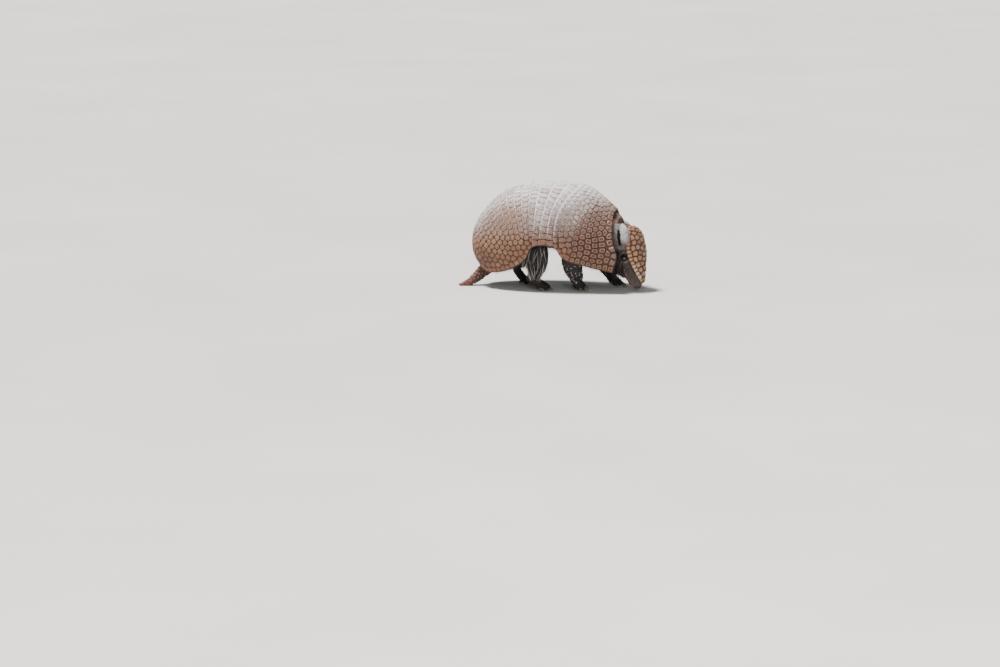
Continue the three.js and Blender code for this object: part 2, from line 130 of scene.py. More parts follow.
ROWS, COLUMNS, FINE = 361, 301, 1201
every_station = np.linspace(0, STATIONS, ROWS)[:, None]
lines = vault(every_station + np.zeros(FINE), np.linspace(-1, 1, FINE))
steps = np.linalg.norm(np.diff(lines, axis=1), axis=2)
travel = np.concatenate([np.zeros((ROWS, 1)), np.cumsum(steps, 1)], 1)
even = [np.interp(np.linspace(0, d[-1], COLUMNS), d, np.arange(FINE)) for d in travel]
GRID = vault(every_station + np.zeros(COLUMNS), np.array(even) / (FINE / 2 - 0.5) - 1)
print("rim to rim over the back, mm:", np.round(travel[::90, -1]))


def shell(station, side):
    """The shell's surface in mm, read from the grid: side goes from -1 to 1 in even steps of length."""
    row = np.clip(station / STATIONS, 0, 1) * (ROWS - 1)
    column = (np.clip(side, -1, 1) + 1) / 2 * (COLUMNS - 1)
    i, j = np.minimum(row.astype(int), ROWS - 2), np.minimum(column.astype(int), COLUMNS - 2)
    p, q = (row - i)[..., None], (column - j)[..., None]
    near = GRID[i, j] * (1 - q) + GRID[i, j + 1] * q
    far = GRID[i + 1, j] * (1 - q) + GRID[i + 1, j + 1] * q
    return near * (1 - p) + far * p


# %% [markdown]
# ## Laying things on a surface
# A scale needs to know which way is along, across and out where it sits. Two small steps on the
# surface give that, whatever the surface is, so shell, crown and tail can share the same tools.

# %% Directions on a surface
def directions(surface, a, b, step=0.004):
    """Point, change along a, change along b, and outward normal of surface(a, b), a and b from 0 to 1."""
    a0, a1 = np.clip(a - step, 0, 1), np.clip(a + step, 0, 1)
    b0, b1 = np.clip(b - step, 0, 1), np.clip(b + step, 0, 1)
    along = (surface(a1, b) - surface(a0, b)) / (a1 - a0)[..., None]
    across = (surface(a, b1) - surface(a, b0)) / (b1 - b0)[..., None]
    normal = np.cross(along, across)
    normal /= np.maximum(np.linalg.norm(normal, axis=-1, keepdims=True), 1e-9)
    return surface(a, b), along, across, normal


def mesh_of(bm, name):
    """The bmesh as a mesh; the bmesh is freed."""
    mesh = bpy.data.meshes.new(name)
    bm.to_mesh(mesh)
    bm.free()
    return mesh


def placed(name, data):
    """A new object of the scene that holds a mesh, a lamp or a camera."""
    made = bpy.data.objects.new(name, data)
    bpy.context.scene.collection.objects.link(made)
    return made


def keep(name, mesh, finish, replaced=()):
    """Makes a finished piece of a mesh: it rides on the body and takes its finish from the slot."""
    piece = placed(name, mesh)
    mesh.materials.append(finish)
    mesh.shade_smooth()
    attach(piece, "root")
    if replaced:
        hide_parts(*replaced)
    print(name, "has", len(mesh.polygons), "faces")


# %% [markdown]
# ## One small shape, many times
# Scales, beads and hairs are the same few faces over and over. The shape is modelled once with bmesh
# operators, and its corners are then placed for every scale together. Real copies are needed, because
# an instance would be lost when the model leaves Blender.

# %% A disc in rings, and a way to repeat a shape
PATCH = 0.003  # how wide one copy's patch is in the OFBake map


def template_of(bm):
    """The corners and faces of a bmesh, which is freed."""
    bm.verts.index_update()
    corners = np.array([v.co[:] for v in bm.verts])
    faces = [[v.index for v in face.verts] for face in bm.faces]
    bm.free()
    return corners, faces


def ringed_disc(sides, rings):
    """A flat disc of the given rings, closed underneath: corners and faces of the template."""
    bm = bmesh.new()
    spine = [bm.verts.new((share, 0, 0)) for share in (0, *rings)]
    edges = [bm.edges.new(pair) for pair in zip(spine, spine[1:])]
    bmesh.ops.spin(bm, geom=spine + edges, cent=(0, 0, 0), axis=(0, 0, 1), angle=2 * math.pi,
                   steps=sides, use_merge=True)
    bmesh.ops.remove_doubles(bm, verts=bm.verts, dist=1e-5)
    bmesh.ops.holes_fill(bm, edges=[e for e in bm.edges if e.is_boundary], sides=sides)
    bmesh.ops.recalc_face_normals(bm, faces=bm.faces)
    return template_of(bm)


def repeated(name, template, places, patches=None, **marks):
    """A mesh of many copies of a template. places is copies x corners x 3, in mm. marks are numbers
    kept on its points, one for each copy or one for each corner of each copy. patches gives each
    copy its own small patch of the OFBake map, about a point on an unwrap of what it grows on."""
    outline, faces = template
    copies, corners = places.shape[:2]
    sizes = np.array([len(face) for face in faces])
    loops = np.concatenate(faces)
    offsets = np.arange(copies)[:, None] * corners
    mesh = bpy.data.meshes.new(name)
    mesh.vertices.add(copies * corners)
    mesh.vertices.foreach_set("co", (places * MM).astype(np.float32).ravel())
    mesh.loops.add(copies * len(loops))
    mesh.loops.foreach_set("vertex_index", (loops + offsets).astype(np.int32).ravel())
    mesh.polygons.add(copies * len(sizes))
    all_sizes = np.tile(sizes, copies)
    mesh.polygons.foreach_set("loop_start", (all_sizes.cumsum() - all_sizes).astype(np.int32))
    for mark, values in marks.items():
        values = np.broadcast_to(values if values.ndim > 1 else values[:, None], (copies, corners))
        layer = mesh.attributes.new(mark, "FLOAT", "POINT")
        layer.data.foreach_set("value", values.astype(np.float32).ravel())
    if patches is not None:
        spots = patches[:, None] + outline[None, :, :2] * PATCH / 2
        layer = mesh.uv_layers.new(name="OFBake")
        layer.data.foreach_set("uv", spots[:, loops].astype(np.float32).ravel())
    mesh.update(calc_edges=True)
    mesh.validate()
    return mesh


RINGS = (0.34, 0.62, 0.86, 1.0)
DISC = ringed_disc(12, RINGS)
print("a scute has", len(DISC[1]), "faces")

# %% [markdown]
# ## Where the scutes sit
# Each scute grew outwards until it met its neighbours, which is just what a cell diagram describes:
# every point belongs to its nearest centre. Centres go down in rows, each row half a step past the last,
# and are then pushed apart a little so that no two are alike. Round each centre the reach in every
# direction is the shortest way to a neighbour's cell or to the plate's edge.

# %% Rows of centres
FAR = 1e6  # stands for no limit


def centre_rows(surface, rows, width, staggered):
    """Scute centres in rows along a. A scute is width mm wide, and staggered says from which row on
    every second row is half a scute further round."""
    found = []
    for i, a in enumerate(rows):
        line = surface(np.full(201, a), np.linspace(0, 1, 201))
        count = max(round(np.linalg.norm(np.diff(line, axis=0), axis=1).sum() / width), 1)
        half_way = i in staggered and i % 2 and count > 1
        places = np.arange(1, count) / count if half_way else (np.arange(count) + 0.5) / count
        found += [(a, b) for b in places]
    return np.array(found).reshape(-1, 2)


def rim_centres(surface, inset, width):
    """Centres along both rims of a plate, inset mm from the edge and width mm apart."""
    fine = np.linspace(0, 1, 401)
    found = []
    for edge in (0.0, 1.0):
        line = surface(fine, np.full(401, edge))
        travel = np.concatenate([[0], np.linalg.norm(np.diff(line, axis=0), axis=1).cumsum()])
        count = round(travel[-1] / width)
        places = np.interp((np.arange(count) + 0.5) / count * travel[-1], travel, fine)
        _, _, across, _ = directions(surface, places, np.full(count, edge))
        inward = inset / np.linalg.norm(across, axis=1)
        found += list(zip(places, np.abs(edge - inward)))
    return np.array(found)


def thinned(surface, seeds, room):
    """Drops each centre that lies closer than room to one kept before it."""
    place = surface(seeds[:, 0], seeds[:, 1])
    kept = []
    for i, point in enumerate(place):
        if not kept or np.linalg.norm(place[kept] - point, axis=1).min() > room:
            kept.append(i)
    return seeds[kept]


def spread_out(surface, seeds, room, free, rounds=30):
    """Pushes centres apart along the surface where they are closer than room, by their share free."""
    seeds = seeds.copy()
    for _ in range(rounds):
        point, along, across, _ = directions(surface, seeds[:, 0], seeds[:, 1])
        apart = point[:, None] - point[None]
        distance = np.linalg.norm(apart, axis=2) + np.eye(len(seeds)) * FAR
        push = np.maximum(room - distance, 0) / distance * 0.22
        move = (apart * push[..., None]).sum(1) * free[:, None]
        seeds[:, 0] += (move * along).sum(1) / (along**2).sum(1)
        seeds[:, 1] += (move * across).sum(1) / (across**2).sum(1)
        seeds = np.clip(seeds, 0.004, 0.996)
    return seeds


# %% The reach of each cell
WIDEST = 9.0  # mm from a scute's centre to its edge, at most


def cell_reach(surface, seeds, groove, angles, widest):
    """How far each cell goes at each angle, in mm, and the steps in a and b for one mm that way."""
    point, along, across, normal = directions(surface, seeds[:, 0], seeds[:, 1])
    east = along / np.linalg.norm(along, axis=1, keepdims=True)
    north = np.cross(normal, east)
    metric = np.stack([np.stack([(along * e).sum(1), (across * e).sum(1)], -1) for e in (east, north)], 1)
    ways = np.stack([np.cos(angles), np.sin(angles)])
    steps = np.linalg.solve(metric, np.broadcast_to(ways, (len(seeds), 2, len(angles))))
    apart = point[None] - point[:, None]
    flat = np.stack([(apart * east[:, None]).sum(2), (apart * north[:, None]).sum(2)], -1)
    flat += np.eye(len(seeds))[..., None] * FAR
    half = np.linalg.norm(flat, axis=2)
    lean = np.einsum("ijk,ka->ija", flat / half[..., None], ways)
    true_half = np.linalg.norm(apart, axis=2) / 2 + np.eye(len(seeds)) * FAR
    room = true_half - np.broadcast_to(groove, len(seeds))[:, None] / 2
    reach = np.where(lean > 0.05, room[..., None] / np.maximum(lean, 0.05), FAR).min(1)
    for axis in (0, 1):
        rate = steps[:, axis]
        room = np.where(rate > 0, 1 - seeds[:, axis, None], seeds[:, axis, None])
        reach = np.minimum(reach, room / np.maximum(np.abs(rate), 1e-9) - 0.1)
    return np.clip(reach, 0.6, widest), steps


def scutes(surface, seeds, groove, heights, sink, widest=WIDEST):
    """The corners of a scute on each centre. heights is mm above the surface at each ring, for each
    centre; the rim of each scute goes down by sink."""
    corners, _ = DISC
    share = np.hypot(corners[:, 0], corners[:, 1])
    angles = np.arctan2(corners[:, 1], corners[:, 0])
    reach, steps = cell_reach(surface, seeds, groove, angles, widest)
    travel = (reach * share)[:, None] * steps
    a = np.clip(seeds[:, 0, None] + travel[:, 0], 0, 1)
    b = np.clip(seeds[:, 1, None] + travel[:, 1], 0, 1)
    place, _, _, normal = directions(surface, a, b)
    ring = np.rint(np.interp(share, (0, *RINGS), range(5))).astype(int)
    lift = np.concatenate([heights, np.full((len(seeds), 1), -sink)], 1)[:, ring]
    return place + normal * lift[..., None], (a, b)


# %% [markdown]
# ## Finishes
# Nothing on an animal has one colour. Each finish mixes its colours by marks kept on the mesh (how high
# on the body, which scute, how deep in a groove), breaks them up with noise, and gets fine relief from
# bump. A small helper keeps the node trees short enough to read.

# %% A helper for node trees
class Finish:
    """A material and the nodes in it. node() adds one, with its inputs by name or number."""

    def __init__(self, name):
        self.material = bpy.data.materials.new(name)
        self.material.use_nodes = True
        self.tree = self.material.node_tree
        self.tree.nodes.clear()
        self.place = self.node("TexCoord").outputs["Object"]

    def node(self, kind, _inputs=None, **settings):
        made = self.tree.nodes.new("ShaderNode" + kind)
        for key, value in settings.items():
            setattr(made, key, value)
        for socket, value in (_inputs or {}).items():
            if isinstance(value, bpy.types.NodeSocket):
                self.tree.links.new(value, made.inputs[socket])
            else:
                made.inputs[socket].default_value = value
        return made

    def mark(self, name):
        """A number kept on the mesh's points."""
        return self.node("Attribute", attribute_name=name).outputs["Fac"]

    def height(self, low, high):
        """How high a point is between two heights in mm, from 0 to 1."""
        place = self.node("SeparateXYZ", {0: self.place}).outputs["Z"]
        return self.level(place, low * MM, high * MM)

    def plus(self, a, b):
        return self.node("Math", {0: a, 1: b}, operation="ADD").outputs[0]

    def times(self, a, b):
        return self.node("Math", {0: a, 1: b}, operation="MULTIPLY").outputs[0]

    def noise(self, scale, detail=4.0, distortion=0.0):
        inputs = {"Vector": self.place, "Scale": scale, "Detail": detail, "Distortion": distortion}
        return self.node("TexNoise", inputs).outputs["Fac"]

    def cells(self, scale, smooth=None):
        """Distance from the nearest of many scattered points, rounded off where smooth is given."""
        inputs = {"Vector": self.place, "Scale": scale}
        if smooth is None:
            return self.node("TexVoronoi", inputs, feature="F1").outputs["Distance"]
        inputs["Smoothness"] = smooth
        return self.node("TexVoronoi", inputs, feature="SMOOTH_F1").outputs["Distance"]

    def ramp(self, value, *stops):
        """A colour ramp with stops of (place, colour)."""
        node = self.node("ValToRGB", {0: value})
        points = node.color_ramp.elements
        while len(points) < len(stops):
            points.new(0.5)
        for point, (at, colour) in zip(points, stops):
            point.position = at
            point.color = (*colour, 1)
        return node.outputs["Color"]

    def level(self, value, low, high, start=0.0, end=1.0):
        """Takes low to start and high to end, with an even slope between."""
        inputs = {"Value": value, "From Min": low, "From Max": high, "To Min": start, "To Max": end}
        return self.node("MapRange", inputs).outputs["Result"]

    def blend(self, share, a, b):
        """Colour a, giving way to b by share."""
        made = self.node("Mix", data_type="RGBA")
        for socket, value in zip((made.inputs[0], made.inputs[6], made.inputs[7]), (share, a, b)):
            if isinstance(value, bpy.types.NodeSocket):
                self.tree.links.new(value, socket)
            else:
                socket.default_value = (*value, 1) if isinstance(value, tuple) else value
        return made.outputs[2]

    def bump(self, height, distance, strength=1.0, below=None):
        """Relief on top of the relief below; distance is in mm."""
        inputs = {"Height": height, "Distance": distance * MM, "Strength": strength}
        if below is not None:
            inputs["Normal"] = below
        return self.node("Bump", inputs).outputs["Normal"]

    def finish(self, colour, roughness, normal=None, **sockets):
        inputs = {"Base Color": colour, "Roughness": roughness, **sockets}
        if normal is not None:
            inputs["Normal"] = normal
        shader = self.node("BsdfPrincipled", inputs)
        self.node("OutputMaterial", {"Surface": shader.outputs[0]})
        return self.material


# %% [markdown]
# ## The horn of the scutes
# The horn is pale and dusty over the back, pinkish down the flank and rusty near the rim, where mud
# stains it. The scapular shield is redder, and its front scutes are ringed. Each scute is a little
# lighter or darker than the next, its edge is dark with dirt, and every raised bead is rubbed pale. One
# function gives the horn its colours by marks on the mesh, so scutes and beads always agree.

# %% Scute horn
BACK = (24, 138)  # heights in mm of the lowest rim and of the crest
SLOT_SHADOW = (0.03, 0.012, 0.008)  # painted shadow in the slot under a plate's rear edge, low on the flank


def dusty_horn(f):
    """The horn's colour: pale on the back, pinkish on the flank, and ochre to rust near the rim."""
    up = f.plus(f.height(*BACK), f.level(f.noise(22, 3), 0.3, 0.7, -0.13, 0.13))
    up = f.plus(up, f.mark("dust"))
    flank = f.ramp(
        up,
        (0.0, (0.10, 0.03, 0.010)),
        (0.14, (0.20, 0.082, 0.028)),
        (0.34, (0.36, 0.20, 0.096)),
        (0.52, (0.32, 0.165, 0.11)),
        (0.70, (0.40, 0.28, 0.25)),
        (0.86, (0.85, 0.82, 0.845)),
        (1.0, (0.96, 0.95, 0.97)),
    )
    front = f.ramp(
        up,
        (0.05, (0.06, 0.014, 0.005)),
        (0.40, (0.135, 0.05, 0.026)),
        (0.62, (0.26, 0.14, 0.10)),
        (0.90, (0.70, 0.63, 0.625)),
    )
    horn = f.blend(f.mark("red"), flank, front)
    rust = f.level(f.noise(120, 4), 0.35, 0.65, 0.5, 0.95)
    horn = f.blend(f.times(f.mark("rim"), rust), horn, (0.25, 0.08, 0.026))
    specks = f.noise(470, 3)
    dark = f.times(f.level(specks, 0.46, 0.38, 0.0, 0.6), f.level(up, 0.2, 0.8))
    pale = f.times(f.level(specks, 0.50, 0.60, 0.0, 0.8), f.level(up, 0.35, 0.75))
    return f.blend(pale, f.blend(dark, horn, (0.21, 0.13, 0.115)), (0.98, 0.96, 0.97))


def scute_horn():
    f = Finish("scute_horn")
    tint, share, up = f.mark("tint"), f.mark("share"), f.height(*BACK)
    base = dusty_horn(f)
    base = f.blend(f.level(tint, 0.55, 1, 0.0, 0.5), base, (0.58, 0.37, 0.22))
    base = f.blend(f.level(tint, 0, 0.4, 0.55, 0.0), base, (0.22, 0.10, 0.065))
    mottle = f.level(f.noise(620, 4, 0.3), 0.50, 0.66, 0.0, 0.6)
    mottle = f.times(mottle, f.level(up, 0.6, 0.9, 1.0, 0.15))
    base = f.blend(mottle, base, (0.14, 0.062, 0.042))
    granules = f.cells(1250, 0.4)
    between = f.times(f.level(granules, 0.15, 0.5), f.level(up, 0.6, 0.95, 0.7, 0.35))
    base = f.blend(between, base, (0.17, 0.075, 0.052))
    chips = f.times(f.level(f.noise(1500, 5), 0.60, 0.72, 0.0, 0.45), f.height(30, 90))
    base = f.blend(chips, base, (0.84, 0.79, 0.77))
    rings = ((0.0, 0.6), (0.13, 0.12), (0.34, 0.0), (0.50, 0.2), (0.64, 1.0), (0.78, 0.15))
    pit = f.ramp(share, *((at, (grey,) * 3) for at, grey in rings))
    ringed = f.blend(pit, (0.05, 0.015, 0.008), (0.46, 0.25, 0.165))
    base = f.blend(f.times(f.mark("ring"), 0.7), base, ringed)
    base = f.blend(f.times(f.mark("knob"), 0.85), base, (0.17, 0.10, 0.08))
    worn = f.level(up, 0.4, 0.78, 1.0, 0.05)
    colour = f.blend(f.times(f.level(share, 0.86, 1.0), worn), base, (0.08, 0.035, 0.02))
    lip = f.mark("lip")
    colour = f.blend(f.times(lip, f.level(up, 0.34, 0.6, 0.0, 0.9)), colour, (0.90, 0.88, 0.87))
    # Low on the flank, a plate's rear edge is painted near black: painted shadow of the slot beneath it.
    colour = f.blend(f.times(lip, f.level(up, 0.22, 0.40, 0.85, 0.0)), colour, SLOT_SHADOW)
    relief = f.bump(granules, 0.35, 0.7)
    relief = f.bump(f.noise(4200, 5), 0.08, 0.5, relief)
    rough = f.level(f.noise(2100, 4), 0.3, 0.7, 0.42, 0.72)
    return f.finish(colour, rough, relief)


def bead_horn():
    """The beads are the same horn, rubbed pale on top."""
    f = Finish("bead_horn")
    base = dusty_horn(f)
    base = f.blend(f.level(f.mark("tint"), 0, 1, 0.0, 0.4), base, (0.15, 0.065, 0.045))
    crown = f.times(f.level(f.mark("share"), 0.0, 0.9, 0.5, 0.0), f.height(10, 100))
    colour = f.blend(crown, base, (0.86, 0.81, 0.79))
    return f.finish(colour, 0.48, f.bump(f.noise(5000, 3), 0.05, 0.5))


def groove_skin():
    """The skin and dirt between the scutes: dusty on the back, nearly black below."""
    f = Finish("groove_skin")
    grit = f.noise(900, 6)
    dark = f.ramp(grit, (0.3, (0.03, 0.018, 0.012)), (0.7, (0.12, 0.075, 0.05)))
    pale = f.level(f.height(*BACK), 0.42, 0.82, 0.0, 0.95)
    ahead = f.node("SeparateXYZ", {0: f.place}).outputs["X"]
    pale = f.times(pale, f.level(ahead, 0.030, 0.055, 1.0, 0.2))
    colour = f.blend(pale, dark, (0.76, 0.71, 0.71))
    return f.finish(colour, 0.9, f.bump(grit, 0.3, 0.6))


HORN, BEADS, GROOVE = scute_horn(), bead_horn(), groove_skin()

# %% [markdown]
# ## The five plates of the shell
# Two shields and three bands overlap like tiles: the rear edge of each lies over the front edge of the
# one behind. Each plate is a thick sheet of bone, the groove floor, with its scutes standing on it. The
# sheet starts as a grid that is bent onto the vault, and solidify gives it its thickness.

# %% Sizes of the plates
PLATE = 2.4  # mm thick
STEP = (0.35, -1.3)  # how far a plate's rear and front edges stand over the vault
LAP = 0.045  # how far a plate's rear edge reaches over the next, in stations
FLOOR_DEPTH = 0.95  # how deep the grooves lie under the scutes
SCUTE_WIDTH, BAND_WIDTH = 7.3, 8.1
PLATES = {  # from, to, in stations
    "shell_pelvic": (0, 4.985),
    "shell_band_rear": (5.0, 5.32),
    "shell_band_middle": (5.333, 5.654),
    "shell_band_front": (5.667, 5.988),
    "shell_scapular": (6.0, 9),
}


def plate_surface(start, end):
    """The plate's outer surface over a and b from 0 to 1, its rear edge raised and its front sunk."""
    rise = 0 if start == 0 else STEP[0]
    sink = 0 if end == STATIONS else STEP[1]

    def surface(a, b):
        station, side = start + (end - start) * np.asarray(a), 2 * np.asarray(b) - 1
        along = shell(station + 0.03, side) - shell(station - 0.03, side)
        across = shell(station, side + 0.01) - shell(station, side - 0.01)
        normal = np.cross(along, across)
        normal /= np.linalg.norm(normal, axis=-1, keepdims=True)
        near_edge = 0.32 / (end - start)  # the step fades out over a band's length
        lift = rise * np.clip(1 - a / near_edge, 0, 1) + sink * np.clip(1 - (1 - a) / near_edge, 0, 1)
        return shell(station, side) + normal * lift[..., None]

    return surface


# %% Bone sheet of one plate
def bone_sheet(name, surface, columns, rows):
    """A grid bent onto the surface at the depth of the grooves, and thickened inwards."""
    bm = bmesh.new()
    bmesh.ops.create_grid(bm, x_segments=columns, y_segments=rows, size=0.5)
    place = np.array([v.co[:2] for v in bm.verts]) + 0.5
    point, _, _, normal = directions(surface, place[:, 0], place[:, 1])
    for vert, co in zip(bm.verts, (point - normal * FLOOR_DEPTH) * MM):
        vert.co = co
    bmesh.ops.solidify(bm, geom=bm.faces[:], thickness=(PLATE - FLOOR_DEPTH) * MM)
    bmesh.ops.recalc_face_normals(bm, faces=bm.faces)
    return mesh_of(bm, name)


# %% Scutes of one plate
def ringed_share(station, place):
    """Where scutes are ringed: towards the front of the scapular shield, less so on the back."""
    return ramp(station, 6.9, 8.1) * (1 - 0.7 * ramp(place[..., 2], 96, 124))


def red_share(station, place):
    """Where the horn is redder: the flank of the scapular shield."""
    return ramp(station, 6.2, 7.6) * (1 - 0.8 * ramp(place[..., 2], 106, 132))


def rim_share(b):
    """Rust-coloured dirt along the lower rim. b runs from rim to rim over the back."""
    return 1 - ramp(np.minimum(b, 1 - b), 0.03, 0.11)


def dust_share(station, place):
    """Pale dust lies thickest on the bands and the upper rump, and is rubbed off the haunch."""
    rump = ramp(-place[..., 0], 76, 102) * ramp(place[..., 2], 58, 90)
    haunch = np.exp(-((np.hypot(place[..., 0] + 52, place[..., 2] - 98) / 24) ** 2))
    bands = np.exp(-(((station - 5.6) / 0.75) ** 2)) * ramp(place[..., 2], 64, 90)
    under_tail = ramp(-place[..., 0], 66, 90) * (1 - ramp(place[..., 2], 44, 66))
    return 0.13 * bands + 0.3 * rump - 0.2 * haunch - 0.3 * under_tail


def horn_marks(station, place, b):
    """The marks that dusty_horn reads."""
    return {"red": red_share(station, place), "rim": rim_share(b), "dust": dust_share(station, place)}


def knob_share(station, place):
    """The front edge beside the cheek carries a few big smooth knobs."""
    return ramp(station, 8.7, 8.8) * ramp(place[..., 2], 33, 37) * (1 - ramp(place[..., 2], 62, 66))


def plate_scutes(name, surface, start, end, seeds, rng):
    """A plate's scutes: slightly domed, cupped where they are ringed, and high where they are knobs."""
    point, station = surface(seeds[:, 0], seeds[:, 1]), start + (end - start) * seeds[:, 0]
    ringed = ringed_share(station, point)[:, None]
    knob = knob_share(station, point)[:, None]
    rough = rng.normal(0, 0.07, (len(seeds), 4))
    domed = np.array([0.3, 0.3, 0.2, -0.05]) + rough
    cupped = np.array([0.35, -0.45, 0.55, 0.15]) + rough
    heights = domed + (cupped - domed) * ringed
    heights += (np.array([2.3, 2.0, 1.3, 0.2]) - heights) * knob
    places, (a, b) = scutes(surface, seeds, 0.36 + 0.5 * (ringed + knob)[:, 0], heights, 1.3)
    share = np.broadcast_to(np.hypot(*DISC[0].T[:2]), places.shape[:2])
    rear, front = surface(np.array([0.0, 1.0]), np.full(2, 0.4))
    lip = np.zeros(places.shape[:2]) if start == 0 else 1 - ramp(a * np.linalg.norm(front - rear), 0.6, 2.2)
    station = start + (end - start) * a
    return repeated(
        name, DISC, places, tint=np.clip(rng.normal(0.45, 0.24, len(seeds)), 0, 1), share=share, lip=lip,
        ring=ringed_share(station, places), knob=knob[:, 0], **horn_marks(station, places, b),
    )


# %% Beads on the scutes
BEAD_RING = 0.62
BEAD = ringed_disc(6, (BEAD_RING, 1.0))
BEAD_GROOVE = 0.42  # mm between the fields of beads on two scutes
BEAD_SPOTS = np.array(  # how far out on the scute, and at which angle
    [(0, 0)] + [(0.40, 60 * k) for k in range(6)] + [(0.76, 30 * k + 15) for k in range(12)])


def plate_beads(name, surface, start, end, seeds, rng):
    """Round grains on the scutes, many and fine on the flank, fewer on the back and near the rim."""
    angles = np.radians(BEAD_SPOTS[:, 1])
    reach, steps = cell_reach(surface, seeds, BEAD_GROOVE, angles, WIDEST)
    out = np.clip(BEAD_SPOTS[:, 0] + rng.normal(0, 0.05, reach.shape), 0, 0.84)
    travel = (reach * out)[:, None] * steps
    a, b = (np.clip(seeds[:, k, None] + travel[:, k], 0, 1).ravel() for k in (0, 1))
    size = (0.148 * np.repeat(np.median(reach, 1), len(angles))) * rng.uniform(0.75, 1.2, a.size)
    point, along, _, normal = directions(surface, a, b)
    station = start + (end - start) * a
    height = (point[:, 2] - BACK[0]) / (BACK[1] - BACK[0])
    chance = 0.25 + 0.75 * ramp(height, 0.24, 0.46) - 0.25 * ramp(height, 0.85, 1.0)
    shown = (rng.random(a.size) < chance) & (ringed_share(station, point) < 0.5)
    point, along, normal, size = point[shown], along[shown], normal[shown], size[shown]
    east = along / np.linalg.norm(along, axis=1, keepdims=True)
    north = np.cross(normal, east)
    x, y = BEAD[0][:, 0], BEAD[0][:, 1]
    share = np.hypot(x, y)
    rise = size[:, None] * np.interp(share, (0, BEAD_RING, 1), (0.62, 0.46, -0.2)) + 0.14
    flat = x[:, None] * east[:, None] + y[:, None] * north[:, None]
    places = point[:, None] + flat * size[:, None, None] + normal[:, None] * rise[..., None]
    return repeated(name, BEAD, places, np.stack([a[shown], b[shown]], -1), tint=rng.random(len(point)),
                    share=np.broadcast_to(share, places.shape[:2]),
                    **horn_marks(station[shown], point, b[shown]))


# %% Centres of one plate
RIM_INSET = 2.9  # from the rim to the centres of the row along it
LEAST_ROOM, ROOM = 5.5, 7.6  # a closer centre is dropped, or pushed away
FRONT_ROW, FRONT_WIDTH = 0.957, 8.6  # the big scutes beside the cheek


def plate_centres(name, surface):
    """Scute centres of a plate: one row on a band; rows and a line along each rim on a shield."""
    if "band" in name:
        return centre_rows(surface, [0.5], BAND_WIDTH, ())
    pelvic = "pelvic" in name
    rows = np.linspace(0.97, 0.03, 20) if pelvic else np.linspace(0.045, 0.9, 12)
    seeds = np.vstack([rim_centres(surface, RIM_INSET, SCUTE_WIDTH),
                       centre_rows(surface, [] if pelvic else [FRONT_ROW], FRONT_WIDTH, ()),
                       centre_rows(surface, rows, SCUTE_WIDTH, range(3, 20))])
    seeds = thinned(surface, seeds, LEAST_ROOM)
    on_rim = np.abs(seeds[:, 1] - 0.5) > 0.475
    by_edge = seeds[:, 0] > 0.88 if pelvic else (seeds[:, 0] < 0.16) | (seeds[:, 0] > 0.93)
    return spread_out(surface, seeds, ROOM, np.where(on_rim | by_edge, 0.08, 1.0))


# %% Make the plates
rng = np.random.default_rng(11)
for name, (start, end) in PLATES.items():
    surface = plate_surface(start - (LAP if start > 0 else 0), end)
    seeds = plate_centres(name, surface)
    for kind, make, finish in (("_scutes", plate_scutes, HORN), ("_beads", plate_beads, BEADS)):
        keep(name + kind, make(name + kind, surface, start, end, seeds, rng), finish)
    sheet = bone_sheet(name + "_bone", surface, 12 if "band" in name else 60, 90)
    keep(name + "_bone", sheet, GROOVE, [name])

# %% [markdown]
# ## The head's own frame
# The head hangs nose down. Its shield, lids and nostrils are easier to place with +X to the nose and
# +Z out of the crown, so one matrix carries them to where the solids have the skull.

# %% The head's matrix
HEAD_AT, NOD, TURN, SWING = (98, -3, 79.5), 75, -8, -9
HEAD = (
    Matrix.Translation((HEAD_AT[0] + ORIGIN_SHIFT, *HEAD_AT[1:]))
    @ Matrix.Rotation(math.radians(SWING), 4, "X")
    @ Matrix.Rotation(math.radians(TURN), 4, "Z")
    @ Matrix.Rotation(math.radians(NOD), 4, "Y")
)
HEAD_TURN, HEAD_PLACE = np.array(HEAD.to_3x3()), np.array(HEAD.translation)


def from_head(points):
    return points @ HEAD_TURN.T + HEAD_PLACE


def to_head(points):
    return (points - HEAD_PLACE) @ HEAD_TURN


eye_centre = {side: (Vector(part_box("eye_" + side)[0]) + Vector(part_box("eye_" + side)[1])) / 2 / MM
              for side in ("left", "right")}
print("eyes in the head's frame:", {s: np.round(to_head(np.array(c)), 1) for s, c in eye_centre.items()})

# %% [markdown]
# ## The head shield
# A flat cap of about ninety horny scutes covers the crown from nape to snout. It is laid like the
# shell, with fewer and less regular cells.

# %% Head shield surface and its scutes
SHIELD = [  # distance ahead, crown height, half width, how far the margin drops
    (-3, 9, 11, 3), (2, 15, 18, 9), (11, 18.8, 22.5, 15.5), (24, 19.4, 23, 19.5),
    (37, 18.2, 20, 19.5), (49, 15, 15.5, 15), (61, 11.4, 10.5, 9.5), (72, 8.2, 5.5, 4),
]


def crown_surface(a, b):
    """The crown in mm: a runs from nape to snout and b from the right margin to the left one."""
    ahead, crown, half, drop = np.moveaxis(read_line(SHIELD, a, even=True), -1, 0)
    out = 2 * np.asarray(b) - 1
    return from_head(np.stack([ahead, out * half, crown - drop * np.abs(out) ** 2.2], -1))


